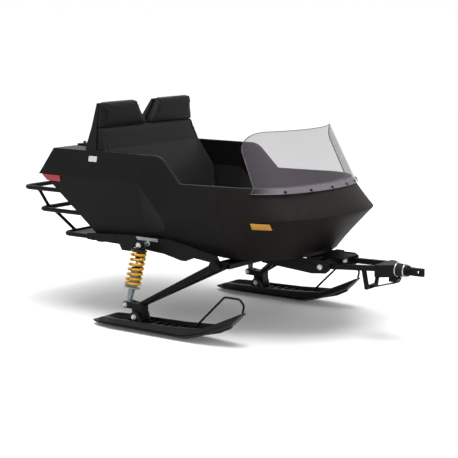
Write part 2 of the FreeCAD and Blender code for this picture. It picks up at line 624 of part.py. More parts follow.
pad_seam = d.head_seam - d.pad_gap
back_side = [(d.seat_rear_x, d.seat_top + d.pad_gap), (d.seat_rear_x + d.back_pad, d.seat_top + d.pad_gap),
             (d.lumbar_x, d.lumbar_z), (d.waist_x, waist_z), (d.back_front_x, pad_seam),
             (head_rear_x + d.pad_gap, pad_seam), (waist_rear_x + d.pad_gap, waist_z),
             (d.seat_rear_x, knee_z)]
pad_half = [(d.back_low_half, d.seat_top), (back_half - d.pad_side, d.chine_height),
            (back_half - d.pad_side, d.deck_height), (d.head_half + d.cushion_gap, d.head_seam)]
pad_front = pad_half + [(-y, z) for y, z in reversed(pad_half)]
node(shared("back_pad", plate("back_pad_side", "XZ_Plane", back_side, -back_half, back_half),
            plate("back_pad_front", "YZ_Plane", pad_front, d.bulkhead_x, d.seat_front_x)), "backrest_pad")

# two headrests side by side, parted by a V-shaped notch
head_side = [(d.back_front_x, d.head_seam), (d.back_front_x + d.head_lean, d.head_top),
             (head_rear_x + d.head_lean + d.pad_gap, d.head_top), (head_rear_x + d.pad_gap, d.head_seam)]
head_corners = [(d.pad_split, d.head_seam), (d.head_half + d.pad_side, d.head_seam),
                (d.head_half - d.head_taper, d.head_top), (d.pad_notch, d.head_top),
                (d.split_top, d.notch_low + d.split_rise)]
for side, sign in SIDES.items():
    front = plate(f"head_{side}_front", "YZ_Plane", [(y * sign, z) for y, z in head_corners],
                  d.bulkhead_x, d.seat_front_x)
    rounded(front, d.head_round, lambda middle, edge: along("x")(middle, edge)
            and middle.z > float(d.head_top) - 1)
    side_view = plate(f"head_{side}_side", "XZ_Plane", head_side, -back_half, back_half)
    node(shared(f"head_{side}", front, side_view), f"headrest_{side}")

# the footwell's mat lies on the belly, its front corners cut to the bow
mat_z = d.belly_height + d.hull_wall + d.seat_gap
mat_half_view = [(d.mat_rear_x, d.mat_half), (d.mat_front_x - d.mat_corner, d.mat_half),
                 (d.mat_front_x, d.mat_half - d.mat_corner)]
node(plate("mat", "XY_Plane", mat_half_view + [(x, -y) for x, y in reversed(mat_half_view)],
           mat_z, mat_z + d.mat_sheet), "footwell_mat")


# ---------------------------------------------------------------- luggage lid
# A flat panel over the hatch, on two pinned hinges behind the seat back, with a pull latch.
lid_low = d.deck_height + d.seat_gap
lid_top = lid_low + d.lid_sheet
hinge_z = lid_low + d.lid_pin
pin_r = d.lid_pin / 2
bore_r = pin_r + d.running_gap
eased_r = d.lid_pin * 0.75
half = d.knuckle_half
lid_parts = [block("lid_panel", (d.lid_rear_x, d.lid_hinge_x - d.lid_pin - d.lid_run),
                   (-d.lid_half, d.lid_half), (lid_low, lid_top))]
hinge_sets = []
for side, sign in SIDES.items():
    y = d.hinge_mid * sign
    lid_parts.append(ring(f"lid_knuckle_{side}", "y", d.lid_hinge_x, y - half, hinge_z, d.lid_pin, bore_r,
                          half * 2))
    strap = block(f"lid_strap_{side}", (d.lid_hinge_x - d.lid_pin - d.strap_long, d.lid_hinge_x),
                  (y - half, y + half), (lid_top - d.strap_sheet, lid_top))
    lid_parts.append(less(f"lid_ear_{side}", strap,
                          rod(f"lid_strap_bore_{side}", "y", d.lid_hinge_x, y - half - d.past, hinge_z,
                              eased_r, (half + d.past) * 2)))
    wide = half - d.knuckle_gap
    hinge = [rod(f"lid_pin_{side}", "y", d.lid_hinge_x, y - half * 2, hinge_z, pin_r, half * 4)]
    for end, low in (("in", y - half * 2), ("out", y + half + d.knuckle_gap)):
        hinge.append(ring(f"hinge_knuckle_{side}_{end}", "y", d.lid_hinge_x, low, hinge_z, d.lid_pin, pin_r,
                          wide))
        leaf = block(f"hinge_leaf_{side}_{end}", (d.lid_hinge_x, d.lid_hinge_x + d.lid_pin + d.leaf_long),
                     (low, low + wide), (lid_low, lid_low + d.strap_sheet))
        hinge.append(less(f"hinge_leaf_cut_{side}_{end}", leaf,
                          rod(f"hinge_leaf_bore_{side}_{end}", "y", d.lid_hinge_x, low - d.past, hinge_z,
                              eased_r, wide + d.past * 2)))
    hinge_sets.append(fused(f"hinge_{side}", *hinge))
node(fused("lid", *lid_parts), "luggage_lid")
node(group("hinges", *hinge_sets), "lid_hinges")
latch_rear_x = d.lid_rear_x + d.latch_in
latch_front_x = latch_rear_x + d.latch_long
latch = plate("latch", "XY_Plane",
              [(latch_rear_x, -d.latch_half), (latch_front_x, -d.latch_half),
               (latch_front_x, d.latch_half), (latch_rear_x, d.latch_half)],
              lid_top + d.seat_gap, lid_top + d.latch_tall)
node(rounded(latch, d.latch_round, along("z")), "lid_latch")


# ---------------------------------------------------------------- reflectors
# Moulded lenses that follow the hull's skin: amber below the bow's chine, red under the rear lip.
lens_out = d.lens_thick + d.seat_gap
layers = [hull_form(name, out, [(d.keel_rear_x - out, d.keel_height - out),
                                (under_lip_x - out, d.chine_height),
                                (d.lip_x - out, d.chine_height), (loft_rear_x - out, d.loft_top)], d.loft_top)
          for name, out in (("lens_inner", d.seat_gap), ("lens_outer", lens_out))]
core = layers[0]
lens_skin = less("lens_skin", layers[1], core)
ambers, reds = [], []
for side, sign in SIDES.items():
    across = sorted((d.lens_in * sign, (d.chine_half + d.beyond) * sign))
    amber = block(f"amber_{side}_room", (d.amber_x, d.amber_x + d.amber_long), across,
                  (d.amber_z, d.amber_z + d.amber_tall))
    ambers.append(shared(f"amber_{side}", lens_skin, amber))
    red = block(f"red_{side}_room", (d.lip_x - d.beyond, d.lip_x + d.red_long), across,
                (d.red_z, d.red_z + d.red_tall))
    reds.append(shared(f"red_{side}", lens_skin, red))
node(group("amber_lenses", *ambers), "amber_reflectors")
node(group("red_lenses", *reds), "red_reflectors")
doc.recompute()


# ---------------------------------------------------------------- frame
# Two cut side plates stand outside the hull's lower edge; cross tubes under the hull tie them.
rail_in = d.rail_out - d.rail_plate
under_hull = d.keel_height - d.seat_gap
rail_end = d.pivot_x + d.rail_nose
nose_z = d.pivot_height + d.pivot_tube / 2 + d.nose_over
tab_rear, tab_front = d.tab_x - d.tab_half, d.tab_x + d.tab_half
rail_view = [(d.rail_rear_x, d.rail_rear_z), (tab_rear - d.tab_run, d.rail_rear_z - d.rail_rear_drop),
             (tab_rear, d.tab_z), (tab_front, d.tab_z), (tab_front + d.tab_run, d.tab_top_z),
             (d.rail_mid_x, d.rail_mid_z), (d.sag_x - d.sag_half, d.sag_z), (d.sag_x + d.sag_half, d.sag_z),
             (d.arch_x, d.arch_z), (d.rail_low_x, d.rail_low_z),
             (d.pivot_x - d.nose_half, d.pivot_height - d.nose_under),
             (d.pivot_x + d.nose_half, d.pivot_height - d.nose_under), (rail_end, d.pivot_height),
             (rail_end, nose_z), (d.belly_notch_x, nose_z),
             (d.belly_notch_x - d.belly_notch_run, d.belly_notch_z),
             (d.rail_top_front_x, d.rail_top_z), (d.rail_top_rear_x, d.rail_top_z),
             (d.rail_rear_x, d.rail_rear_z + d.rail_rear_tall)]
pivot_hole = (d.pivot_x, d.pivot_height, d.pivot_tube / 2 + d.seat_gap)
rails = [plate(f"rail_{side}", "XZ_Plane", rail_view, *sorted((rail_in * sign, d.rail_out * sign)),
               [pivot_hole])
         for side, sign in SIDES.items()]
node(group("rail_pair", *rails), "frame_rails")


def box_tube(name, x, y, z):
    """A rectangular tube across the frame, open at both ends, from three (low, high) pairs."""
    wall = d.tube_wall
    return less(name, block(f"{name}_outer", x, y, z),
                block(f"{name}_inner", (x[0] + wall, x[1] - wall), (y[0] - d.past, y[1] + d.past),
                      (z[0] + wall, z[1] - wall)))


sleeve_r = d.pivot_tube / 2 + d.sleeve_wall
front_cross_x = d.pivot_x + sleeve_r + d.tube / 2 + d.cross_gap
crosses = [box_tube(f"cross_{tag}", (x - d.tube / 2, x + d.tube / 2), (-rail_in, rail_in), (top - tall, top))
           for tag, x, top, tall in (("rear", d.rear_cross_x, under_hull, d.tube),
                                     ("middle", d.middle_cross_x, under_hull, d.tube),
                                     ("front", front_cross_x, d.front_cross_top, d.front_cross_tall))]
node(rod("pivot_tube", "y", d.pivot_x, -d.pivot_half, d.pivot_height, d.pivot_tube / 2, d.pivot_half * 2),
     "arm_pivot_tube")

# two tapered beams run forward from the front cross tube and carry the tongue's bolts
beam_in, beam_out = d.beam_mid - d.beam_plate / 2, d.beam_mid + d.beam_plate / 2
beam_rear_x = front_cross_x + d.tube / 2
bolt_x, bolt_z = d.tongue_pivot_x, d.tongue_pivot_z
beam_view = [(beam_rear_x, d.beam_low), (bolt_x - d.beam_throat, bolt_z - d.beam_under),
             (bolt_x + d.beam_chin, bolt_z - d.beam_chin), (bolt_x + d.beam_nose, bolt_z - d.beam_tip_under),
             (bolt_x + d.beam_nose, bolt_z + d.beam_tip_over), (bolt_x + d.beam_chin, d.beam_top),
             (beam_rear_x, d.beam_top)]
bolt_hole = (bolt_x, bolt_z, d.pivot_bolt / 2 + d.seat_gap)
beams = [plate(f"beam_{side}", "XZ_Plane", beam_view, *sorted((beam_in * sign, beam_out * sign)), [bolt_hole])
         for side, sign in SIDES.items()]
node(group("beam_pair", *beams), "front_beams")
root_tube_x = bolt_x - d.root_tube_rear
crosses.append(box_tube("root_cross", (root_tube_x, root_tube_x + d.root_tube_wide), (-beam_in, beam_in),
                        (d.root_tube_low, d.root_tube_low + d.root_tube_tall)))
node(group("cross_set", *crosses), "frame_crossmembers")
root_half_view = [(d.belly_front_x + d.root_rear, beam_out), (bolt_x - d.root_neck, beam_out),
                  (bolt_x - d.root_neck + d.root_step, d.root_half), (bolt_x + d.root_nose, d.root_half)]
root = plate("root_plate", "XY_Plane", root_half_view + [(x, -y) for x, y in reversed(root_half_view)],
             d.beam_top + d.seat_gap, d.beam_top + d.seat_gap + d.root_plate)
node(rounded(root, d.root_round, lambda middle, edge: along("z")(middle, edge)
             and middle.x > float(bolt_x + d.root_nose) - 1), "beam_top_plate")


# ---------------------------------------------------------------- luggage rack
# Three hoops of steel tube step down behind the hull and lean against its rear face.
def hoop(name, x_rear, x_front, half, z):
    """A U of bent tube lying level, open towards the bow."""
    return bent_tube(name, [(x_front, half, z), (x_rear, half, z), (x_rear, -half, z), (x_front, -half, z)],
                     tube_r, d.rack_bend)


tube_r = d.rack_tube / 2
low_half = rail_in - tube_r
low_front_x = d.rear_cross_x - d.tube / 2
hoop_top = less("rack_top", hoop("rack_top_tube", d.rack_top_x, d.rack_top_front_x, d.rack_half,
                                 d.rack_top_z), core)
hoop_mid = less("rack_mid", hoop("rack_mid_tube", d.rack_mid_x, d.rack_mid_front_x, d.rack_half,
                                 d.rack_mid_z), core)
hoop_low = hoop("rack_low", d.rack_low_x, low_front_x, low_half, d.rack_low_z)
node(hoop_top, "rack_hoop_upper")
node(hoop_mid, "rack_hoop_middle")
node(hoop_low, "rack_hoop_lower")

# the lowest hoop carries a flat sheet, rounded where the tube bends
sheet_z = (d.rack_low_z - d.rack_sheet / 2, d.rack_low_z + d.rack_sheet / 2)
bend_x, bend_y = d.rack_low_x + d.rack_bend, low_half - d.rack_bend
sheet_form = block("rack_sheet", (d.rack_low_x + tube_r, low_front_x),
                   (-low_half + tube_r, low_half - tube_r), sheet_z)
corners_off, corner_discs = [], []
for side, sign in SIDES.items():
    corners_off.append(block(f"rack_sheet_corner_{side}", (d.rack_low_x, bend_x + tube_r),
                             sorted((bend_y * sign, low_half * sign)),
                             (sheet_z[0] - d.past, sheet_z[1] + d.past)))
    corner_discs.append(rod(f"rack_sheet_disc_{side}", "z", bend_x, bend_y * sign, sheet_z[0],
                            d.rack_bend - tube_r - d.seat_gap, d.rack_sheet))
node(fused("rack_sheet_round", less("rack_sheet_cut", sheet_form, fused("rack_sheet_corners", *corners_off)),
           *corner_discs), "rack_platform")

hoops = fused("rack_hoops", hoop_top, hoop_mid, hoop_low)
struts = []
for side, sign in SIDES.items():
    high = strut(f"rack_strut_high_{side}", (d.rack_top_x + d.strut_high, d.rack_half * sign, d.rack_top_z),
                 (d.rack_mid_x, (d.rack_half - d.strut_high_in) * sign, d.rack_mid_z), d.strut_tube / 2)
    low = strut(f"rack_strut_low_{side}", (d.rack_mid_x + d.strut_low, d.rack_half * sign, d.rack_mid_z),
                (d.rack_low_x, (d.rack_half - d.strut_low_in) * sign, d.rack_low_z), d.strut_tube / 2)
    struts += [less(f"rack_brace_{side}_high", high, hoops), less(f"rack_brace_{side}_low", low, hoops)]
node(group("rack_braces", *struts), "rack_struts")


# ---------------------------------------------------------------- running gear
# A trailing arm of two tubes on each side carries the ski bracket; a coil-over shock stands on it.
def outward(sign, start, length):
    """The lower end of a span that leaves the centre plane from start, on the side of the sign."""
    return start * sign if sign > 0 else -start - length


pivot_room = rod("pivot_room", "y", d.pivot_x, -d.pivot_half - d.beyond, d.pivot_height,
                 d.pivot_tube / 2 + d.seat_gap, (d.pivot_half + d.beyond) * 2)
eye_r = d.shock_eye / 2
bolt_r = d.shock_bolt / 2
nut_r = bolt_r + d.nut_over
wire_r = d.spring_wire / 2
coil_r = d.spring_out / 2 - wire_r
perch_r = d.spring_out / 2 - d.perch_in
shock_top_mid = d.ski_mid - d.shock_in
bracket_top = d.apex_height + d.bracket_over
bracket_low = d.ski_pivot_z - d.bracket_under
bracket_rear_x = d.ski_pivot_x - d.bracket_rear
bodies, rods_up, springs, shock_bolts = [], [], [], []
for side, sign in SIDES.items():
    mid = d.ski_mid * sign
    # ski bracket: a block over the ski's pivot, with two ears behind it for the shock
    block_view = [(bracket_rear_x, bracket_low), (d.ski_pivot_x + d.bracket_front, bracket_low),
                  (d.ski_pivot_x + d.bracket_front, bracket_top), (bracket_rear_x, bracket_top)]
    pivot_bore = (d.ski_pivot_x, d.ski_pivot_z, d.ski_bolt / 2 + d.running_gap)
    bracket_block = plate(f"bracket_block_{side}", "XZ_Plane", block_view, mid - d.fork_half,
                          mid + d.fork_half,
                          [pivot_bore])
    ear = d.ear_half
    ear_view = [(bracket_rear_x, d.shock_low_z - ear), (bracket_rear_x, bracket_top),
                (d.shock_low_x - ear / 2, d.shock_low_z + ear),
                (d.shock_low_x - ear, d.shock_low_z + ear / 3),
                (d.shock_low_x - ear, d.shock_low_z - ear / 3),
                (d.shock_low_x - ear / 2, d.shock_low_z - ear)]
    ears = [plate(f"bracket_ear_{side}_{number}", "XZ_Plane", ear_view, low, low + d.fork_plate,
                  [(d.shock_low_x, d.shock_low_z, bolt_r + d.seat_gap)])
            for number, low in enumerate((mid - d.fork_half, mid + d.fork_half - d.fork_plate))]
    bracket = node(fused(f"bracket_{side}", bracket_block, *ears), f"ski_bracket_{side}")

    # trailing arm: two tubes meet at the bracket, with a pierced web between them
    apex = Vector(float(d.apex_x), float(mid), float(d.apex_height))
    outer = Vector(float(d.pivot_x), float(d.arm_out) * sign, float(d.pivot_height))
    inner = Vector(float(d.pivot_x), float(d.arm_in) * sign, float(d.pivot_height))
    tubes = [strut(f"arm_tube_{side}_{number}", start, apex, d.arm_tube / 2)
             for number, start in enumerate((outer, inner))]
    sleeves = [rod(f"arm_sleeve_{side}_{number}", "y", d.pivot_x, y * sign - d.sleeve_half, d.pivot_height,
                   sleeve_r, d.sleeve_half * 2) for number, y in enumerate((d.arm_out, d.arm_in))]
    web = [ahead(outer, apex, 0.24), ahead(outer, apex, 0.40), ahead(inner, apex, 0.40),
           ahead(inner, apex, 0.24)]
    normal = (web[1] - web[0]).cross(web[3] - web[0]).normalize() * float(d.web_sheet)
    web_face = Part.Face(Part.makePolygon(web + web[:1]))
    web_plate = shaped(f"arm_web_{side}", web_face.translated(normal * -0.5).extrude(normal))
    web_mid = (ahead(outer, apex, 0.32), ahead(inner, apex, 0.32))
    holes = [strut(f"arm_hole_{side}_{number}", ahead(*web_mid, share) - normal,
                   ahead(*web_mid, share) + normal,
                   d.web_hole / 2) for number, share in enumerate((0.35, 0.65))]
    node(less(f"arm_{side}", fused(f"arm_form_{side}", *tubes, *sleeves, web_plate),
              fused(f"arm_cuts_{side}", pivot_room, bracket, *holes)), f"trailing_arm_{side}")

    # shock absorber: eyes across the car, rod above, body below, coil spring round both
    top = Vector(float(d.shock_top_x), float(shock_top_mid) * sign, float(d.shock_top_z))
    foot = Vector(float(d.shock_low_x), float(mid), float(d.shock_low_z))
    lean = (top - foot).normalize()
    perch_low, body_top, perch_top = (foot + lean * ((float(z) - foot.z) / lean.z)
                                      for z in (d.spring_low_z, d.shock_body_top_z, d.spring_top_z))
    sheet = lean * float(d.perch_sheet)
    eye_half = d.fork_half - d.fork_plate - d.seat_gap
    case = [strut(f"shock_tube_{side}", perch_low - sheet, body_top, d.shock_body / 2),
            cone(f"shock_neck_{side}", foot, perch_low, d.neck_foot / 2, d.neck_top / 2),
            strut(f"shock_perch_low_{side}", perch_low - sheet, perch_low, perch_r),
            rod(f"shock_eye_low_{side}", "y", d.shock_low_x, mid - eye_half, d.shock_low_z, eye_r,
                eye_half * 2)]
    low_room = rod(f"shock_bore_low_{side}", "y", d.shock_low_x, mid - d.fork_half, d.shock_low_z,
                   bolt_r + d.seat_gap, d.fork_half * 2)
    bodies.append(less(f"shock_body_{side}", fused(f"shock_case_{side}", *case), low_room))
    top_y = shock_top_mid * sign
    upper = [strut(f"shock_shaft_{side}", body_top, top, d.shock_rod / 2),
             strut(f"shock_perch_top_{side}", perch_top, perch_top + sheet, perch_r),
             rod(f"shock_eye_top_{side}", "y", d.shock_top_x, top_y - d.shock_eye_half, d.shock_top_z, eye_r,
                 d.shock_eye_half * 2)]
    top_room = rod(f"shock_bore_top_{side}", "y", d.shock_top_x, top_y - d.fork_half, d.shock_top_z,
                   bolt_r + d.seat_gap, d.fork_half * 2)
    rods_up.append(less(f"shock_rod_{side}", fused(f"shock_upper_{side}", *upper), top_room))
    coil_tall = (perch_top - perch_low).Length - float(d.spring_wire + d.spring_gap * 2)
    helix = Part.makeHelix(coil_tall / float(d.spring_turns), coil_tall, float(coil_r))
    section = Part.Wire(Part.makeCircle(float(wire_r), Vector(float(coil_r), 0, 0), Vector(0, 1, 0)))
    coil = Part.Wire(helix.Edges).makePipeShell([section], True, True)
    stand = Placement(perch_low + lean * float(wire_r + d.spring_gap), Rotation(Vector(0, 0, 1), lean))
    springs.append(shaped(f"spring_{side}", coil.transformed(stand.toMatrix(), True)))

    # shock bolts: the upper one stands out of the side plate, the lower one crosses the bracket's ears
    spacer = shock_top_mid - d.shock_eye_half - d.rail_out
    nut_y = shock_top_mid + d.shock_eye_half + d.seat_gap
    reach = nut_y + d.nut_tall + d.thread_past - d.rail_out
    pins = [rod(f"shock_pin_{side}", "y", d.shock_top_x, outward(sign, d.rail_out, reach), d.shock_top_z,
                bolt_r, reach),
            rod(f"shock_spacer_{side}", "y", d.shock_top_x, outward(sign, d.rail_out, spacer - d.seat_gap),
                d.shock_top_z, nut_r, spacer - d.seat_gap),
            rod(f"shock_nut_{side}", "y", d.shock_top_x, outward(sign, nut_y, d.nut_tall), d.shock_top_z,
                nut_r,
                d.nut_tall)]
    shock_bolts.append(fused(f"shock_bolt_up_{side}", *pins))
    low_half_long = d.fork_half + d.seat_gap + d.nut_tall
    low_pins = [rod(f"shock_low_pin_{side}", "y", d.shock_low_x, mid - low_half_long, d.shock_low_z, bolt_r,
                    low_half_long * 2)]
    low_pins += [rod(f"shock_low_nut_{side}_{number}", "y", d.shock_low_x, low, d.shock_low_z, nut_r,
                     d.nut_tall)
                 for number, low in enumerate((mid - low_half_long, mid + low_half_long - d.nut_tall))]
    shock_bolts.append(fused(f"shock_bolt_low_{side}", *low_pins))
node(group("shock_cases", *bodies), "shock_bodies")
node(group("shock_shafts", *rods_up), "shock_rods")
node(group("spring_pair", *springs), "coil_springs")
node(group("shock_bolt_set", *shock_bolts), "shock_bolts")
doc.recompute()


# ---------------------------------------------------------------- skis
# Each ski is a moulded channel with upstanding ears, pinned under its bracket, on a steel runner.
def ski_plan(mid, inset, rear, front):
    """The ski's outline from above, drawn in by an inset: a short heel taper and a long one to the toe."""
    heel_x, toe_x = d.ski_rear_x + d.heel_long, d.ski_front_x - d.toe_long
    half = [(rear, d.heel_half - inset / 2), (ahead(rear, heel_x, 0.4),
                                              ahead(d.heel_half, d.ski_half, 0.62) - inset),
            (heel_x, d.ski_half - inset), (toe_x, d.ski_half - inset),
            (ahead(toe_x, front, 0.3), ahead(d.ski_half, d.toe_half, 0.14) - inset),
            (ahead(toe_x, front, 0.6), ahead(d.ski_half, d.toe_half, 0.40) - inset),
            (front, d.toe_half - inset / 2)]
    return [(x, mid - y) for x, y in half] + [(x, mid + y) for x, y in reversed(half)]


ski_high = d.ski_tip_z + d.beyond
plan_rear, plan_front = d.ski_rear_x - d.past, d.ski_front_x + d.past * 2
toe_x = d.ski_front_x - d.toe_bend
ski_view = [(d.ski_rear_x + d.heel_rise, d.ski_base), (toe_x, d.ski_base),
            (d.ski_front_x - d.toe_knee, d.toe_knee_z),
            (d.ski_front_x + d.toe_lip, d.ski_tip_z - d.toe_lip), (d.ski_front_x, d.ski_tip_z + d.toe_lip),
            (d.ski_front_x - d.rim_mid, d.ski_deck + d.rim_mid_up),
            (d.ski_front_x - d.rim_low, d.ski_deck + d.toe_lip),
            (d.ski_rear_x + d.rim_rear, d.ski_deck - d.rim_rear_down), (d.ski_rear_x, d.ski_base + d.heel_up),
            (d.ski_rear_x + d.heel_under, d.ski_base + d.heel_under)]
channel_view = [(d.ski_rear_x + d.channel_rear, d.ski_floor), (d.ski_front_x - d.channel_bend, d.ski_floor),
                (d.ski_front_x - d.toe_knee, d.toe_knee_z + d.toe_floor),
                (d.ski_front_x - d.channel_toe, d.ski_tip_z - d.channel_toe_down),
                (d.ski_front_x - d.channel_toe, ski_high), (d.ski_rear_x + d.channel_rear, ski_high)]
ear_view = [(d.ski_pivot_x - d.ear_foot, d.ski_floor - d.past),
            (d.ski_pivot_x + d.ear_foot, d.ski_floor - d.past),
            (d.ski_pivot_x + d.ear_crown, d.ski_pivot_z + d.ear_over),
            (d.ski_pivot_x - d.ear_crown, d.ski_pivot_z + d.ear_over)]
ear_bore = (d.ski_pivot_x, d.ski_pivot_z, d.ski_bolt / 2 + d.seat_gap)
runner_rear, runner_front = d.ski_rear_x + d.runner_rear, d.ski_front_x - d.runner_front
runner_view = [(runner_rear, 0), (runner_front, 0), (runner_front + d.runner_ramp, d.ski_base),
               (runner_rear - d.runner_ramp / 2, d.ski_base)]
pin_half = d.ear_out + d.seat_gap
head_r = d.ski_bolt * 0.85
for side, sign in SIDES.items():
    mid = d.ski_mid * sign
    ski_side = plate(f"ski_form_{side}", "XZ_Plane", ski_view, mid - d.ski_half, mid + d.ski_half)
    rounded(ski_side, d.ski_bend, lambda middle, edge: along("y")(middle, edge)
            and abs(middle.x - float(toe_x)) < 1 and middle.z < float(d.ski_base) + 1)
    sole = [(mid - d.sole_half, 0), (mid + d.sole_half, 0), (mid + d.sole_half, d.ski_base),
            (mid + d.ski_half, d.ski_base + d.sole_rise), (mid + d.ski_half, ski_high),
            (mid - d.ski_half, ski_high), (mid - d.ski_half, d.ski_base + d.sole_rise),
            (mid - d.sole_half, d.ski_base)]
    ski_room = shared(f"ski_room_{side}",
                      plate(f"ski_plan_{side}", "XY_Plane", ski_plan(mid, Size(0), plan_rear, plan_front),
                            Size(0), ski_high),
                      plate(f"ski_sole_{side}", "YZ_Plane", sole, plan_rear, plan_front))
    channel = shared(f"ski_hollow_{side}",
                     plate(f"ski_channel_{side}", "XZ_Plane", channel_view, mid - d.ski_half,
                           mid + d.ski_half),
                     plate(f"ski_inner_{side}", "XY_Plane", ski_plan(mid, d.ski_rim, plan_rear, plan_front),
                           Size(0), ski_high))
    ears = [plate(f"ski_ear_{side}_{number}", "XZ_Plane", ear_view, low, low + d.ear_plate, [ear_bore])
            for number, low in enumerate((mid - d.ear_out, mid + d.ear_out - d.ear_plate))]
    ski = fused(f"ski_{side}_part", less(f"ski_open_{side}",
                                         shared(f"ski_outer_{side}", ski_side, ski_room), channel),
                *ears)
    node(ski, f"ski_{side}")
    node(plate(f"runner_{side}", "XZ_Plane", runner_view, mid - d.runner_half, mid + d.runner_half),
         f"ski_runner_{side}")
    pin = [rod(f"ski_pin_{side}", "y", d.ski_pivot_x, mid - pin_half, d.ski_pivot_z, d.ski_bolt / 2,
               pin_half * 2)]
    pin += [rod(f"ski_pin_{end}_{side}", "y", d.ski_pivot_x, low, d.ski_pivot_z, head_r, d.bolt_head)
            for end, low in (("head", mid - pin_half - d.bolt_head), ("nut", mid + pin_half))]
    node(fused(f"ski_bolt_{side}_part", *pin), f"ski_bolt_{side}")
    # a bent rod rises from the channel to a grab loop over the toe
    bow = bent_tube(f"ski_bow_{side}",
                    [(d.ski_front_x - d.loop_rear, mid, d.ski_floor - d.past),
                     (d.ski_front_x - d.loop_top, mid, d.loop_z),
                     (d.ski_front_x - d.loop_shoulder, mid, d.loop_z),
                     (d.ski_front_x + d.loop_over, mid, d.loop_z - d.loop_drop),
                     (d.ski_front_x - d.loop_foot, mid, d.ski_tip_z - d.past)], d.loop_tube / 2, d.loop_bend)
    node(less(f"ski_loop_{side}_part", bow, ski), f"ski_loop_{side}")
doc.recompute()


# ---------------------------------------------------------------- tongue and hitch
# A fork of two square tubes hinges on the front beams and ends in a pressed head with the hitch.
def square_tube(name, start, end, wide):
    """A hollow square tube between two points."""
    one, two = (Vector(*(float(part) for part in point)) for point in (start, end))
    turn = Rotation(Vector(1, 0, 0), two - one)
    parts = []
    for tag, size, extra in (("outer", wide, Size(0)), ("inner", wide - d.tube_wall * 2, d.past)):
        box = doc.addObject("Part::Box", f"{name}_{tag}")
        bind(box, "Width", size)
        bind(box, "Height", size)
        box.Length = (two - one).Length + float(extra) * 2
        corner = Vector(float(extra), float(size) / 2, float(size) / 2)
        box.Placement = Placement(one - turn.multVec(corner), turn)
        parts.append(box)
    return less(name, *parts)


pivot_r = d.pivot_bolt / 2
shaft_r = d.shaft_out / 2
skin = d.tube_wall * 2
head_low, head_top_z = d.tongue_z - d.head_below, d.tongue_z + d.head_above
shoulder_x = d.head_x + d.head_shoulder
shoulder_half = d.tongue_front_half + d.head_side
parts = []
for side, sign in SIDES.items():
    parts.append(square_tube(f"tongue_tube_{side}", (bolt_x, d.tongue_rear_half * sign, bolt_z),
                             (d.head_x + d.tube_wall, d.tongue_front_half * sign, d.tongue_z), d.tongue_tube))
    parts.append(rod(f"tongue_boss_{side}", "y", bolt_x, d.tongue_rear_half * sign - d.boss_half, bolt_z,
                     pivot_r + d.boss_wall, d.boss_half * 2))
head_view = [(d.head_x, -shoulder_half), (shoulder_x, -shoulder_half), (d.head_front_x, -d.head_nose_half),
             (d.head_front_x, d.head_nose_half), (shoulder_x, shoulder_half), (d.head_x, shoulder_half)]
pocket_half, pocket_nose = shoulder_half - skin, d.head_nose_half - skin / 2
pocket_view = [(d.head_x + skin, -pocket_half), (shoulder_x - d.tube_wall, -pocket_half),
               (d.head_front_x - skin, -pocket_nose), (d.head_front_x - skin, pocket_nose),
               (shoulder_x - d.tube_wall, pocket_half), (d.head_x + skin, pocket_half)]
parts.append(less("tongue_head", plate("tongue_head_form", "XY_Plane", head_view, head_low, head_top_z),
                  plate("tongue_head_pocket", "XY_Plane", pocket_view, head_low - d.past, head_top_z - skin)))
parts.append(block("tongue_lug", (bolt_x + d.lug_rear, bolt_x + d.lug_rear + d.lug_wide),
                   (d.lug_in, d.lug_out),
                   (bolt_z - d.lug_tall, bolt_z)))
bolt_room = rod("tongue_bolt_room", "y", bolt_x, -beam_out, bolt_z, pivot_r + d.running_gap, beam_out * 2)
shaft_room = rod("tongue_shaft_room", "x", d.head_front_x - skin - d.past, 0, d.hitch_z,
                 shaft_r + d.running_gap,
                 skin + d.past * 2)
tongue_frame = node(less("tongue_part", fused("tongue_whole", *parts),
                         fused("tongue_rooms", bolt_room, shaft_room)), "tongue_frame")

bolts = []
nut_in = d.tongue_rear_half - d.boss_half - d.nut_gap
nut_out = beam_out + d.seat_gap
for side, sign in SIDES.items():
    bolts.append(fused(f"tongue_bolt_{side}",
                       rod(f"tongue_pin_{side}", "y", bolt_x, outward(sign, nut_in, nut_out - nut_in), bolt_z,
                           pivot_r, nut_out - nut_in),
                       rod(f"tongue_pin_head_{side}", "y", bolt_x, outward(sign, nut_out, d.bolt_head),
                           bolt_z,
                           pivot_r * 1.6, d.bolt_head),
                       rod(f"tongue_pin_nut_{side}", "y", bolt_x,
                           outward(sign, nut_in - d.bolt_head, d.bolt_head),
                           bolt_z, pivot_r * 1.6, d.bolt_head)))
node(group("tongue_bolts", *bolts), "tongue_pivot_bolts")

# skid under the tongue: two legs, a foot bar, and a strap that runs forward and up to the head
leg_half = d.skid_bar / 2
sheet = d.skid_sheet
under = head_low - d.seat_gap
legs = [square_tube(f"skid_leg_{side}", (d.skid_x, d.skid_half * sign, d.skid_z),
                    (d.skid_x, (d.skid_half + d.skid_spread) * sign, d.tongue_z), d.skid_bar)
        for side, sign in SIDES.items()]
foot_bar = block("skid_foot", (d.skid_x - leg_half, d.skid_x + leg_half),
                 (-d.skid_half - leg_half, d.skid_half + leg_half),
                 (d.skid_z - leg_half, d.skid_z + leg_half))
strap_low = d.skid_z + d.strap_up
strap_end_x = d.head_front_x + d.strap_nose
strap_view = [(d.skid_x, d.skid_z - leg_half), (d.skid_x + d.strap_run, strap_low),
              (d.head_front_x + sheet, under - d.cheek_mid - sheet), (strap_end_x, under - d.cheek_over),
              (strap_end_x - sheet, under - d.cheek_over), (d.head_front_x, under - d.cheek_mid),
              (d.skid_x + d.strap_run, strap_low + sheet), (d.skid_x, d.skid_z - leg_half + sheet)]
strap_half = d.skid_half / 2
strap = plate("skid_strap", "XZ_Plane", strap_view, -strap_half, strap_half)
cheek_rear_x = d.head_front_x - d.cheek_rear
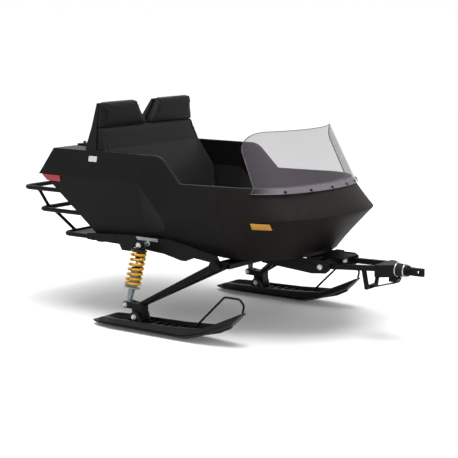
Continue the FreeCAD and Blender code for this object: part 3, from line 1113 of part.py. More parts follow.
cheek_view = [(cheek_rear_x, d.skid_z + d.cheek_under), (d.head_front_x, under - d.cheek_mid),
              (strap_end_x - sheet, under - d.cheek_over), (d.head_front_x, under), (cheek_rear_x, under)]
cheeks = [plate(f"skid_cheek_{number}", "XZ_Plane", cheek_view, low, low + sheet)
          for number, low in enumerate((-strap_half, strap_half - sheet))]
tube_fill = [doc.getObject(f"tongue_tube_{side}_outer") for side in SIDES]
node(less("skid_part", fused("skid_whole", *legs, foot_bar, strap, *cheeks),
          fused("skid_room", tongue_frame, *tube_fill)), "tongue_skid")

# hitch: two steel washers clamp a rubber bushing; the shaft turns in them and ends in an eye
bushing_r = d.bushing_out / 2
shaft_bore_r = shaft_r + d.running_gap
ring_rear_x, ring_front_x = d.head_front_x + d.seat_gap, d.head_front_x + d.ring_apart
washers = [ring(f"hitch_washer_{number}", "x", x, 0, d.hitch_z, bushing_r + d.ring_over, shaft_bore_r,
                d.ring_sheet)
           for number, x in enumerate((ring_rear_x, ring_front_x))]
node(group("hitch_washers", *washers), "hitch_rings")
rubber_x = ring_rear_x + d.ring_sheet + d.seat_gap
node(ring("hitch_rubber", "x", rubber_x, 0, d.hitch_z, bushing_r, shaft_bore_r,
          ring_front_x - d.seat_gap - rubber_x), "hitch_bushing")
collar_x = ring_front_x + d.ring_sheet + d.seat_gap * 2
step_x = collar_x + d.collar_long
eye_half = d.eye_out / 2
eye_x = d.hitch_tip_x - eye_half
half_tall = d.eye_tall / 2
slot_half = half_tall - d.tab_plate - d.tab_gap
shaft_x = d.head_front_x - d.shaft_rear
shaft_parts = [
    rod("shaft_bar", "x", shaft_x, 0, d.hitch_z, shaft_r, step_x - shaft_x),
    rod("shaft_nut", "x", shaft_x, 0, d.hitch_z, shaft_r + d.nut_over, d.shaft_nut),
    rod("shaft_collar", "x", collar_x, 0, d.hitch_z, shaft_r + d.collar_over, d.collar_long),
    rod("shaft_step", "x", step_x, 0, d.hitch_z, shaft_r + d.step_over, d.step_long),
    block("shaft_clevis", (step_x + d.step_long / 2, eye_x), (-eye_half, eye_half),
          (d.hitch_z - half_tall, d.hitch_z + half_tall)),
    rod("shaft_eye", "z", eye_x, 0, d.hitch_z - half_tall, eye_half, d.eye_tall)]
slot = block("shaft_slot", (eye_x - d.slot_long, eye_x - eye_half + 1), (-d.eye_out, d.eye_out),
             (d.hitch_z - slot_half, d.hitch_z + slot_half))
eye_hole = rod("shaft_eye_bore", "z", eye_x, 0, d.hitch_z - d.eye_tall, d.eye_bore / 2, d.eye_tall * 2)
node(less("shaft_part", less("shaft_open", fused("shaft_whole", *shaft_parts), slot), eye_hole),
     "hitch_shaft")


# ---------------------------------------------------------------- check and write
doc.recompute()
faults = [thing.Label for thing in doc.Objects if {"Invalid", "Error"} & set(thing.State)]
faults += [thing.Label for thing in NODES if thing.Shape.isNull() or not thing.Shape.isValid()]
if faults:
    raise RuntimeError(f"failed: {sorted(set(faults))}")
for thing in NODES:
    thing.Shape.exportStep(f"parts/{thing.Label}.step")
    print(thing.Label, len(thing.Shape.Solids), round(thing.Shape.Volume / 1e6, 3))
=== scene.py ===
import math

import bmesh
import bpy
import numpy as np
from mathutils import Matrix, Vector


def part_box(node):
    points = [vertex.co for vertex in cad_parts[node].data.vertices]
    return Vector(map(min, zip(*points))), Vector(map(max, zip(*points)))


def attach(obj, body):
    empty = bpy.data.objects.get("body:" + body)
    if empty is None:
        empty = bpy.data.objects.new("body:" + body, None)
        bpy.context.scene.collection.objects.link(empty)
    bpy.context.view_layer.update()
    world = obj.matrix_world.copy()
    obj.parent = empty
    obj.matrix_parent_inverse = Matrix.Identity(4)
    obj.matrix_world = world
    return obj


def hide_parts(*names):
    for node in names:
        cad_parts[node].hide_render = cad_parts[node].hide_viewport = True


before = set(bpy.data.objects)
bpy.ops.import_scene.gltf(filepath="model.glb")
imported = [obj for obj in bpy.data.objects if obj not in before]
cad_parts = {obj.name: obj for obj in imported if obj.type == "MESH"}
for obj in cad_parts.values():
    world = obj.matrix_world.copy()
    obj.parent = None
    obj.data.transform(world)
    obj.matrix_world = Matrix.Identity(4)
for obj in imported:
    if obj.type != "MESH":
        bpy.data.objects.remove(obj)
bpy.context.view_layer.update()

# ---------------------------------------------------------------- studio
# A white paper sweep under one large overhead soft box, with a smaller one before the bow and one
# behind. The long lens looks from the front right corner, a little above the seat's height.
scene = bpy.context.scene
scene.view_settings.view_transform = "Standard"

VIEW_AZIMUTH, VIEW_RISE, VIEW_AWAY = math.radians(36.0), math.radians(9.283), 7.4257
LOOK_AT = Vector((-0.0127, 0.0, 0.4758))
LENS_MM, SENSOR_MM = 108.4, 36.0
camera_data = bpy.data.cameras.new("camera")
camera_data.lens = LENS_MM
camera_data.sensor_width = SENSOR_MM
camera = bpy.data.objects.new("camera", camera_data)
scene.collection.objects.link(camera)
away = Vector((math.sin(VIEW_AZIMUTH) * math.cos(VIEW_RISE), -math.cos(VIEW_AZIMUTH) * math.cos(VIEW_RISE),
               math.sin(VIEW_RISE)))
camera.location = LOOK_AT + away * VIEW_AWAY
camera.rotation_euler = away.to_track_quat("Z", "Y").to_euler()
scene.camera = camera


def tone(code):
    """Turn an sRGB hex colour into linear red, green, blue and alpha."""
    parts = np.array([int(code[i:i + 2], 16) for i in (1, 3, 5)]) / 255.0
    linear = np.where(parts <= 0.04045, parts / 12.92, ((parts + 0.055) / 1.055) ** 2.4)
    return (*linear.tolist(), 1.0)


def feed(tree, node, **sources):
    """Link outputs of other nodes into a node's sockets, named with underscores for spaces."""
    for socket, source in sources.items():
        tree.links.new(source, node.inputs[socket.replace("_", " ")])


def add(tree, kind, feeds=None, **settings):
    """Add a node: settings name its properties or input sockets, feeds maps sockets to outputs."""
    made = tree.nodes.new(kind)
    for name, value in settings.items():
        if hasattr(made, name):
            setattr(made, name, value)
        else:
            made.inputs[name.replace("_", " ")].default_value = value
    for socket, source in (feeds or {}).items():
        tree.links.new(source, made.inputs[socket])
    return made


def seen_share(tree):
    """One for rays from the lens, and for those that a mirror or clear sheet sends on, else zero."""
    path = add(tree, "ShaderNodeLightPath")
    total = add(tree, "ShaderNodeMath", {0: path.outputs["Is Camera Ray"], 1: path.outputs["Is Glossy Ray"]},
                operation="ADD")
    return add(tree, "ShaderNodeMath", {0: total.outputs[0], 1: path.outputs["Is Transmission Ray"]},
               operation="ADD", use_clamp=True).outputs[0]


FILL_STRENGTH = 0.54
world = bpy.data.worlds.new("studio")
scene.world = world
world.use_nodes = True
sky = world.node_tree
sky.nodes.clear()
fill_light = add(sky, "ShaderNodeBackground", Color=tone("#FFFFFF"), Strength=FILL_STRENGTH)
white_wall = add(sky, "ShaderNodeBackground", Color=tone("#FFFFFF"), Strength=1.0)
wall_or_fill = add(sky, "ShaderNodeMixShader", {0: seen_share(sky), 1: fill_light.outputs[0],
                                                2: white_wall.outputs[0]})
add(sky, "ShaderNodeOutputWorld", {"Surface": wall_or_fill.outputs[0]})

# the paper's own glow for the eye grows with distance, so the sweep turns to plain white behind
FLOOR_HALF = 14.0
PAPER_SEEN, PAPER_BOUNCE = "#F8F8F8", "#8C8C8C"
GLOW_NEAR, GLOW_FAR = 0.06, 0.54
GLOW_FROM, GLOW_TO = 1.1, 2.9
floor_mesh = bpy.data.meshes.new("studio_floor")
floor_mesh.from_pydata([(x * FLOOR_HALF, y * FLOOR_HALF, 0) for x, y in ((-1, -1), (1, -1), (1, 1), (-1, 1))],
                       [], [(0, 1, 2, 3)])
floor_object = bpy.data.objects.new("studio_floor", floor_mesh)
scene.collection.objects.link(floor_object)
paper = bpy.data.materials.new("white_paper")
paper.use_nodes = True
sheet = paper.node_tree
sheet.nodes.clear()
# the light that the paper throws back on the object is held down, as by a grey card out of view
lightness = add(sheet, "ShaderNodeMixRGB", {"Fac": seen_share(sheet)}, Color1=tone(PAPER_BOUNCE),
                Color2=tone(PAPER_SEEN))
matt = add(sheet, "ShaderNodeBsdfDiffuse", {"Color": lightness.outputs["Color"]})
spot = add(sheet, "ShaderNodeTexCoord")
reach = add(sheet, "ShaderNodeVectorMath", {0: spot.outputs["Object"]}, operation="LENGTH")
swell = add(sheet, "ShaderNodeMapRange", {"Value": reach.outputs["Value"]}, interpolation_type="SMOOTHSTEP",
            From_Min=GLOW_FROM, From_Max=GLOW_TO, To_Min=GLOW_NEAR, To_Max=GLOW_FAR)
glow = add(sheet, "ShaderNodeEmission", {"Strength": swell.outputs["Result"]}, Color=tone("#FFFFFF"))
dark = add(sheet, "ShaderNodeEmission", Strength=0.0)
seen_glow = add(sheet, "ShaderNodeMixShader", {0: seen_share(sheet), 1: dark.outputs[0], 2: glow.outputs[0]})
both = add(sheet, "ShaderNodeAddShader", {0: matt.outputs[0], 1: seen_glow.outputs[0]})
add(sheet, "ShaderNodeOutputMaterial", {"Surface": both.outputs[0]})
floor_mesh.materials.append(paper)

# each lamp's place, the side of its square box and its power in watts
LAMP_AIM = Vector((0.0, 0.0, 0.45))
LAMPS = {"overhead_box": ((0.5, -0.7, 4.3), 3.0, 205.0), "bow_box": ((4.2, -1.6, 2.2), 2.0, 34.0),
         "rear_box": ((-3.6, 2.6, 3.2), 2.4, 32.0)}
for name, (place, size, power) in LAMPS.items():
    lamp_data = bpy.data.lights.new(name, "AREA")
    lamp_data.size = size
    lamp_data.energy = power
    lamp = bpy.data.objects.new(name, lamp_data)
    lamp.location = place
    lamp.rotation_euler = (Vector(place) - LAMP_AIM).to_track_quat("Z", "Y").to_euler()
    scene.collection.objects.link(lamp)


# ---------------------------------------------------------------- steel frame under the hull
# Cut side plates, square cross tubes and a pivot tube in mild steel, welded up and then powder
# coated black: a smooth low-gloss coat with faint orange peel and slow, cloudy changes of shade.
def start(name, base, rough, **shader):
    """A new material with one Principled shader on its output: the material, its tree and its shader."""
    made = bpy.data.materials.new(name)
    made.use_nodes = True
    tree = made.node_tree
    tree.nodes.clear()
    surface = add(tree, "ShaderNodeBsdfPrincipled", Base_Color=tone(base), Roughness=rough, **shader)
    add(tree, "ShaderNodeOutputMaterial", {"Surface": surface.outputs[0]})
    return made, tree, surface


def per_mm(size):
    """A texture's scale for features this many millimetres across, on coordinates in metres."""
    return 1000.0 / size


def finish_in(mesh, material):
    """Make a material the only one on a mesh."""
    mesh.materials.clear()
    mesh.materials.append(material)


def soften(thing, edge_mm, segments, degrees):
    """Round the corners that turn by more than an angle, over so many millimetres."""
    if edge_mm:
        edges = thing.modifiers.new("edges", "BEVEL")
        edges.width = edge_mm / 1000.0
        edges.segments = segments
        edges.limit_method = "ANGLE"
        edges.angle_limit = math.radians(degrees)


def dress(name, material, edge_mm=1.0):
    """Give a CAD node its material, merge its facets' corners and soften its edges."""
    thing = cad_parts[name]
    finish_in(thing.data, material)
    weld = thing.modifiers.new("weld", "WELD")
    weld.merge_threshold = 0.00002
    soften(thing, edge_mm, 2, 35.0)


coat, tree, surface = start("powder_coated_steel", "#0D0C0C", 0.46, Specular_IOR_Level=0.11)
spot = add(tree, "ShaderNodeTexCoord").outputs["Object"]
cloud = add(tree, "ShaderNodeTexNoise", {"Vector": spot}, Scale=per_mm(70), Detail=2.0)
shade = add(tree, "ShaderNodeMixRGB", {"Fac": cloud.outputs["Fac"]}, Color1=tone("#090809"),
            Color2=tone("#111011"))
patch = add(tree, "ShaderNodeMapRange", {"Value": cloud.outputs["Fac"]}, To_Min=0.38, To_Max=0.54)
peel = add(tree, "ShaderNodeTexNoise", {"Vector": spot}, Scale=per_mm(4.0), Detail=1.0)
ripple = add(tree, "ShaderNodeBump", {"Height": peel.outputs["Fac"]}, Strength=0.3, Distance=0.00015)
feed(tree, surface, Base_Color=shade.outputs["Color"], Roughness=patch.outputs["Result"],
     Normal=ripple.outputs["Normal"])
for name in ("frame_rails", "front_beams", "frame_crossmembers", "beam_top_plate", "arm_pivot_tube"):
    dress(name, coat)


def grid_faces(rows, columns, wrap_rows=False, wrap_columns=False):
    """Four-cornered faces of a grid of points, where point (i, j) has the number i * columns + j."""
    i, j = np.meshgrid(np.arange(rows - (not wrap_rows)), np.arange(columns - (not wrap_columns)),
                       indexing="ij")
    i, j = i.ravel(), j.ravel()
    k, m = (i + 1) % rows, (j + 1) % columns
    return np.stack([i * columns + j, k * columns + j, k * columns + m, i * columns + m], axis=1).tolist()


def closed_form(grid):
    """Points and faces of a stack of closed rings (rows of the grid), with a flat cap on each end."""
    rows, columns = grid.shape[:2]
    caps = [list(range(columns)), list(range((rows - 1) * columns, rows * columns))]
    return grid.reshape(-1, 3), grid_faces(rows, columns, wrap_columns=True) + caps


def across_axes(direction):
    """Two unit vectors at right angles to a direction and to each other."""
    line = np.asarray(direction, float) / np.linalg.norm(direction)
    first = np.cross(line, (0.0, 0.0, 1.0) if abs(line[2]) < 0.9 else (1.0, 0.0, 0.0))
    first /= np.linalg.norm(first)
    return line, first, np.cross(line, first)


def turned(start_point, direction, profile, sides=24, flats=0):
    """A profile of (distance, radius) pairs turned round an axis: each ring is the axis point plus the
    radius times (cos a, sin a); with flats, the radius grows to a polygon's by 1 / cos of the angle from
    the middle of the nearest flat."""
    line, first, second = across_axes(direction)
    angle = np.arange(sides) * 2 * np.pi / sides
    swell = np.ones(sides)
    if flats:
        step = 2 * np.pi / flats
        swell = 1 / np.cos((angle + step / 2) % step - step / 2)
    reach, radius = np.array(profile, float).T
    ring = np.cos(angle)[:, None] * first + np.sin(angle)[:, None] * second
    grid = (np.asarray(start_point, float) + reach[:, None, None] * line
            + radius[:, None, None] * (swell[:, None] * ring)[None])
    return closed_form(grid)


def swept(path, radius, sides=12, closed=False):
    """A round section carried along a path: each point of it is the path's point plus the radius times
    (cos a, sin a) on two vectors at right angles to the path there."""
    path = np.asarray(path, float)
    if closed:
        heading = np.roll(path, -1, axis=0) - np.roll(path, 1, axis=0)
    else:
        heading = np.gradient(path, axis=0)
    heading /= np.linalg.norm(heading, axis=1, keepdims=True)
    spread = path.max(axis=0) - path.min(axis=0)
    lean = np.eye(3)[int(np.argmin(spread))]
    first = np.cross(heading, lean)
    first /= np.linalg.norm(first, axis=1, keepdims=True)
    second = np.cross(heading, first)
    angle = np.arange(sides) * 2 * np.pi / sides
    ring = (np.cos(angle)[None, :, None] * first[:, None] + np.sin(angle)[None, :, None] * second[:, None])
    grid = path[:, None] + np.asarray(radius, float).reshape(-1, 1, 1) * ring
    if closed:
        return grid.reshape(-1, 3), grid_faces(len(path), sides, wrap_rows=True, wrap_columns=True)
    return closed_form(grid)


def slab(outline, low, high, axis=1):
    """A flat outline, given as points on the other two axes, carried along one axis from low to high."""
    flat = np.asarray(outline, float)
    grid = np.stack([np.insert(flat, axis, level, axis=1) for level in (low, high)])
    return closed_form(grid)


def piece(name, parts, material, body, edge_mm=0.0, crease=35.0):
    """Join parts, each (points, faces), into one mesh: faces turned outwards, smooth but for creases."""
    points, faces, count = [], [], 0
    for corners, sides in parts:
        points.append(np.asarray(corners, float))
        faces += [[corner + count for corner in side] for side in sides]
        count += len(corners)
    mesh = bpy.data.meshes.new(name)
    mesh.from_pydata(np.concatenate(points).tolist(), [], faces)
    work = bmesh.new()
    work.from_mesh(mesh)
    bmesh.ops.recalc_face_normals(work, faces=work.faces)
    work.to_mesh(mesh)
    work.free()
    mesh.shade_smooth()
    mesh.set_sharp_from_angle(angle=math.radians(crease))
    mesh.materials.append(material)
    made = bpy.data.objects.new(name, mesh)
    scene.collection.objects.link(made)
    soften(made, edge_mm, 3, crease)
    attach(made, body)
    return made


# low dome-headed bolts, each on a thin washer, hold the hull to the side plates
RAIL_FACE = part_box("frame_rails")[1][1]
HEAD_R, HEAD_TALL, FLANGE_R, FLANGE = 0.0085, 0.005, 0.010625, 0.0012
RAIL_BOLTS = [(-0.60, 0.426), (-0.44, 0.446), (-0.30, 0.452), (-0.02, 0.446), (0.11, 0.415)]
dome = [(0, FLANGE_R), (FLANGE, FLANGE_R), (FLANGE + 0.0001, HEAD_R), (HEAD_TALL * 0.6, HEAD_R * 0.8),
        (HEAD_TALL, HEAD_R * 0.35)]
heads = [turned((x, side * RAIL_FACE, z), (0, side, 0), dome, sides=20)
         for side in (-1, 1) for x, z in RAIL_BOLTS]
piece("rail_bolt_heads", heads, coat, "sleigh")


# ---------------------------------------------------------------- luggage rack
# Three hoops of round tube with short struts and a folded sheet on the lowest, all coated like the
# frame. A ripple of weld runs round each strut where it meets a hoop.
for name in ("rack_hoop_upper", "rack_hoop_middle", "rack_hoop_lower", "rack_platform", "rack_struts"):
    dress(name, coat, edge_mm=0.0 if "hoop" in name or "struts" in name else 1.0)
TUBE_R, STRUT_R = 0.0125, 0.009
BEAD_R, RIPPLE, RIPPLES = 0.0021, 0.0006, 9
# upper and lower hoop, how far ahead of the upper one's rear line a strut starts, and how far in it ends
STRUTS = [("rack_hoop_upper", "rack_hoop_middle", 0.110, 0.075),
          ("rack_hoop_middle", "rack_hoop_lower", 0.115, 0.062)]


def hoop_lines(name):
    """A hoop's rear line, side line and height, at the middle of its tube."""
    low, high = (np.array(corner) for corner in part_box(name))
    return low[0] + TUBE_R, high[1] - TUBE_R, (low[2] + high[2]) / 2


beads = []
for upper, lower, ahead, inward in STRUTS:
    top_x, top_y, top_z = hoop_lines(upper)
    low_x, _, low_z = hoop_lines(lower)
    for side in (-1, 1):
        ends = np.array([(top_x + ahead, side * top_y, top_z), (low_x, side * (top_y - inward), low_z)])
        for end, other in (ends, ends[::-1]):
            line, first, second = across_axes(other - end)
            angle = np.arange(36) * 2 * np.pi / 36
            ripple = STRUT_R + RIPPLE * np.cos(RIPPLES * angle)
            loop = (end + line * TUBE_R * 1.02 + (ripple * np.cos(angle))[:, None] * first
                    + (ripple * np.sin(angle))[:, None] * second)
            beads.append(swept(loop, BEAD_R, sides=8, closed=True))
piece("rack_weld_beads", beads, coat, "sleigh")


# ---------------------------------------------------------------- running gear
# Trailing arms and ski brackets are coated like the frame. Each coil-over shock has a silver-grey
# enamelled case, a ground rod with a rubber bump stop, and a spring in yellow powder coat.
for name in ("trailing_arm_left", "trailing_arm_right", "ski_bracket_left", "ski_bracket_right"):
    dress(name, coat, edge_mm=1.2)

# sprayed enamel on the shock's case: an even silver grey with a fine fleck
grey_enamel, tree, surface = start("silver_grey_enamel", "#7E8489", 0.34, Metallic=0.35, Coat_Weight=0.3,
                                   Coat_Roughness=0.2)
fleck = add(tree, "ShaderNodeTexNoise", {"Vector": add(tree, "ShaderNodeTexCoord").outputs["Object"]},
            Scale=per_mm(2.5), Detail=2.0)
feed(tree, surface, Base_Color=add(tree, "ShaderNodeMixRGB", {"Fac": fleck.outputs["Fac"]},
                                   Color1=tone("#73797E"), Color2=tone("#8D9398")).outputs["Color"])
dress("shock_bodies", grey_enamel, edge_mm=1.0)

# zinc plate on turned and rolled steel: a soft bright grey with faint cloudy streaks
zinc, tree, surface = start("bright_zinc_plate", "#B9BBBC", 0.30, Metallic=0.9)
brushed = add(tree, "ShaderNodeTexNoise", {"Vector": add(tree, "ShaderNodeTexCoord").outputs["Object"]},
              Scale=per_mm(6), Detail=3.0)
feed(tree, surface, Base_Color=add(tree, "ShaderNodeMixRGB", {"Fac": brushed.outputs["Fac"]},
                                   Color1=tone("#A3A6A8"), Color2=tone("#D2D2CE")).outputs["Color"],
     Roughness=add(tree, "ShaderNodeMapRange", {"Value": brushed.outputs["Fac"]}, To_Min=0.22,
                   To_Max=0.42).outputs["Result"])

# the shock's head and upper spring plate are drawn black and not metallic; only the rod below them is ground
# steel
rod_steel, tree, surface = start("ground_rod_with_black_head", "#B9BBBC", 0.28, Specular_IOR_Level=0.3)
parts = add(tree, "ShaderNodeSeparateXYZ", {"Vector": add(tree, "ShaderNodeTexCoord").outputs["Object"]})
head_share = add(tree, "ShaderNodeMapRange", {"Value": parts.outputs["Z"]}, From_Min=0.396, From_Max=0.398)
feed(tree, surface, Base_Color=add(tree, "ShaderNodeMixRGB", {"Fac": head_share.outputs["Result"]},
                                   Color1=tone("#C4C6C7"), Color2=tone("#111011")).outputs["Color"],
     Metallic=add(tree, "ShaderNodeMapRange", {"Value": head_share.outputs["Result"]}, To_Min=0.9,
                  To_Max=0.0).outputs["Result"],
     Roughness=add(tree, "ShaderNodeMapRange", {"Value": head_share.outputs["Result"]}, To_Min=0.26,
                   To_Max=0.45).outputs["Result"])
dress("shock_rods", rod_steel, edge_mm=0.8)

# powder coat on spring wire: warm yellow, a little uneven where it pooled
yellow, tree, surface = start("yellow_powder_coat", "#DFA51A", 0.36, Specular_IOR_Level=0.35)
cloud = add(tree, "ShaderNodeTexNoise", {"Vector": add(tree, "ShaderNodeTexCoord").outputs["Object"]},
            Scale=per_mm(30), Detail=2.0)
feed(tree, surface, Base_Color=add(tree, "ShaderNodeMixRGB", {"Fac": cloud.outputs["Fac"]},
                                   Color1=tone("#D2930F"), Color2=tone("#EBB325")).outputs["Color"])

SKI_MID = (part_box("ski_left")[0][1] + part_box("ski_left")[1][1]) / 2
SHOCK_TOP, SHOCK_FOOT = np.array((-0.216, SKI_MID - 0.048, 0.437)), np.array((-0.258, SKI_MID, 0.132))
SPRING_OUT, SPRING_WIRE_R, SPRING_LOW_Z, SPRING_HIGH_Z = 0.043, 0.0076, 0.2222, 0.4078
SPRING_TURNS, CLOSED_TURNS = 7.3, 0.75


def coil(foot, top):
    """The centre line of a closed-ended spring round the line from foot to top. A point's angle grows
    evenly; its height follows three straight runs, one wire thickness a turn at the two closed ends
    and the open pitch between them."""
    line, side_one, side_two = across_axes(top - foot)
    seat = foot + line * ((SPRING_LOW_Z - foot[2]) / line[2] + SPRING_WIRE_R)
    tall = (SPRING_HIGH_Z - SPRING_LOW_Z) / line[2] - 2 * SPRING_WIRE_R
    closed = CLOSED_TURNS * 2.04 * SPRING_WIRE_R
    turn = np.linspace(0, SPRING_TURNS, int(SPRING_TURNS * 26))
    height = np.interp(turn, [0, CLOSED_TURNS, SPRING_TURNS - CLOSED_TURNS, SPRING_TURNS],
                       [0, closed, tall - closed, tall])
    angle = turn[:, None] * 2 * np.pi
    out = (SPRING_OUT - SPRING_WIRE_R) * (np.cos(angle) * side_one + np.sin(angle) * side_two)
    return seat + height[:, None] * line + out


spring_lines = [coil(SHOCK_FOOT * (1, side, 1), SHOCK_TOP * (1, side, 1)) for side in (-1, 1)]
springs = piece("wound_coil_springs", [swept(line, SPRING_WIRE_R, sides=14) for line in spring_lines], yellow,
                "sleigh")
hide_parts("coil_springs")

# moulded black rubber: dead matt, with fine open pores drawn at 2 mm so that they can show
rubber, tree, surface = start("moulded_rubber", "#0F0F10", 0.72, Specular_IOR_Level=0.25)
pores = add(tree, "ShaderNodeTexNoise", {"Vector": add(tree, "ShaderNodeTexCoord").outputs["Object"]},
            Scale=per_mm(2.0), Detail=3.0)
feed(tree, surface, Normal=add(tree, "ShaderNodeBump", {"Height": pores.outputs["Fac"]}, Strength=0.35,
                               Distance=0.0002).outputs["Normal"])

CASE_TOP_Z, CASE_R, ROD_R, EYE_HALF = 0.317, 0.022, 0.007, 0.016
BOLT_R, LUG_OUT, LOWER_HEAD, LOWER_WASHER_R = 0.006, 0.0283, 0.0068, 0.0125
SPACER_R, SPACER_TAPER_R, SLEEVE_R, NUT_R, NUT_TALL = 0.0135, 0.011, 0.0160, 0.0094, 0.0066


def hex_bolt(start_point, direction, shank_r, grip, head_tall, washer_r=0.0):
    """A hexagon head standing on a washer outside start_point, a plain shank along direction, and a nut
    past the grip, out of which the shank's end stands."""
    start_point, direction = np.asarray(start_point, float), np.asarray(direction, float)
    flat = shank_r * 1.6
    washer = 0.0016 if washer_r else 0.0
    chamfer = [(0.0, flat * 0.94), (head_tall * 0.12, flat), (head_tall * 0.85, flat),
               (head_tall, flat * 0.86)]
    head = turned(start_point - direction * washer, -direction, chamfer, sides=48, flats=6)
    nut = turned(start_point + direction * (grip + washer), direction, chamfer, sides=48, flats=6)
    tail = turned(start_point, direction, [(0.0, shank_r), (grip + head_tall + washer + 0.003, shank_r),
                                           (grip + head_tall + washer + 0.004, shank_r * 0.8)])
    made = [head, nut, tail]
    if washer_r:
        for base, way in ((start_point, -direction), (start_point + direction * grip, direction)):
            rim = [(0.0, washer_r), (washer * 0.7, washer_r), (washer, washer_r * 0.96)]
            made.append(turned(base, way, rim, 40))
    return made


bolts, stops = [], []
for side in (-1, 1):
    out = np.array((0.0, side, 0.0))
    top, foot = SHOCK_TOP * (1, side, 1), SHOCK_FOOT * (1, side, 1)
    plate_face = np.array((top[0], side * RAIL_FACE, top[2]))
    reach = abs(top[1]) - RAIL_FACE
    # the upper bolt passes a tapered spacer and the eye's steel sleeve, with a plain nut outside
    bolts.append(turned(plate_face, out, [(0.0, SPACER_R), (0.004, SPACER_R), (0.006, SPACER_TAPER_R),
                                          (reach - EYE_HALF - 0.0004, SPACER_TAPER_R)], 32))
    bolts.append(turned(plate_face, out, [(0.0, BOLT_R), (reach + EYE_HALF + 0.0090, BOLT_R),
                                          (reach + EYE_HALF + 0.0102, BOLT_R * 0.8)]))
    sleeve = top + out * (EYE_HALF + 0.0002)
    bolts.append(turned(sleeve, out, [(0.0, SLEEVE_R), (0.0016, SLEEVE_R), (0.0022, SLEEVE_R - 0.001)], 40))
    bolts.append(turned(sleeve + out * 0.0016, out, [(0.0, NUT_R - 0.0006), (0.0008, NUT_R),
                                                     (NUT_TALL - 0.0008, NUT_R), (NUT_TALL, NUT_R - 0.0012)],
                        48, flats=6))
    bolts += hex_bolt(foot - out * LUG_OUT, out, BOLT_R, 2 * LUG_OUT, LOWER_HEAD, washer_r=LOWER_WASHER_R)
    # a collar closes the case's mouth, and a bellied bump stop sits on the rod above it
    line = (top - foot) / np.linalg.norm(top - foot)
    case_top = foot + line * ((CASE_TOP_Z - foot[2]) / line[2])
    stops.append(turned(case_top - line * 0.004, line, [(0.0, CASE_R + 0.0012), (0.006, CASE_R + 0.0012),
                                                        (0.009, CASE_R - 0.002), (0.010, ROD_R + 0.003)], 32))
    stops.append(turned(case_top + line * 0.048, line,
                        [(0.0, ROD_R + 0.001), (0.003, 0.0145), (0.010, 0.0155), (0.015, 0.0125),
                         (0.020, 0.0155), (0.027, 0.0165), (0.030, 0.0150)], 32))
mounting_bolts = piece("shock_mounting_bolts", bolts, zinc, "sleigh")
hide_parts("shock_bolts")
piece("shock_bump_stops", stops, rubber, "sleigh")


# ---------------------------------------------------------------- skis
# Each ski is injection moulded in tough black plastic of a low, uneven gloss: a flared channel with a
# rolled rim, stiffening ribs on its floor and two upstanding ears. A bright steel wear bar is fixed
# under its sole, and a bolt through the ears pins it to its bracket.
moulded, tree, surface = start("semi_gloss_ski_plastic", "#0F0E0E", 0.38, Specular_IOR_Level=0.20)
spot = add(tree, "ShaderNodeTexCoord").outputs["Object"]
cloud = add(tree, "ShaderNodeTexNoise", {"Vector": spot}, Scale=per_mm(60), Detail=3.0)
flow = add(tree, "ShaderNodeTexNoise", {"Vector": spot}, Scale=per_mm(3.0), Detail=2.0)
feed(tree, surface, Base_Color=add(tree, "ShaderNodeMixRGB", {"Fac": cloud.outputs["Fac"]},
                                   Color1=tone("#0B0A0A"), Color2=tone("#151211")).outputs["Color"],
     Roughness=add(tree, "ShaderNodeMapRange", {"Value": cloud.outputs["Fac"]}, To_Min=0.28,
                   To_Max=0.46).outputs["Result"],
     Normal=add(tree, "ShaderNodeBump", {"Height": flow.outputs["Fac"]}, Strength=0.25,
                Distance=0.00015).outputs["Normal"])

REAR_X, FRONT_X, TIP_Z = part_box("ski_left")[0][0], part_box("ski_left")[1][0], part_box("ski_left")[1][2]
BASE_Z, FLOOR_Z, FLOOR_THICK, WALL, LEAST_SIDE = 0.008, 0.036, 0.028, 0.012, 0.008
# how long the toe, nose and heel are, and how far the sole climbs in the toe and the heel
TOE_LONG, TOE_CLIMB, NOSE_LONG, NOSE_SIDE = 0.350, 0.129, 0.070, 0.009
HEEL_LONG, HEEL_CLIMB = 0.05, 0.010
PIVOT = np.array((-0.186, SKI_MID, 0.076))


def ski_lines(x):
    """Half width, sole height, rim height and floor height along the ski.

    Each is a broken line through a few stations, but for the sole, which is level, then climbs as a power
    of the distance past the bend, to which the nose and the heel add a power of the distance into them."""
    half = np.interp(x, [REAR_X, REAR_X + 0.06, REAR_X + 0.15, FRONT_X - 0.29, FRONT_X - 0.2045,
                         FRONT_X - 0.119, FRONT_X - 0.03, FRONT_X],
                     [0.030, 0.058, 0.075, 0.075, 0.0685, 0.056, 0.033, 0.020])
    past = np.clip((x - (FRONT_X - TOE_LONG)) / TOE_LONG, 0, 1)
    nose = np.clip((x - (FRONT_X - NOSE_LONG)) / NOSE_LONG, 0, 1)
    heel = np.clip(((REAR_X + HEEL_LONG) - x) / HEEL_LONG, 0, 1)
    sole = (BASE_Z + TOE_CLIMB * past ** 1.42 + (TIP_Z - NOSE_SIDE - BASE_Z - TOE_CLIMB) * nose ** 1.1
            + HEEL_CLIMB * heel ** 1.5)
    rim = np.interp(x, [REAR_X, REAR_X + 0.093, FRONT_X - 0.41, FRONT_X - 0.21, FRONT_X - 0.10, FRONT_X],
                    [0.024, 0.058, 0.067, 0.081, 0.130, TIP_Z])
    rim = np.maximum(rim, sole + LEAST_SIDE)
    floor = np.clip(sole + FLOOR_THICK, None, rim - LEAST_SIDE / 2)
    floor = np.where(x < REAR_X + 0.06, rim - LEAST_SIDE / 2, floor)
    return half, sole, rim, floor


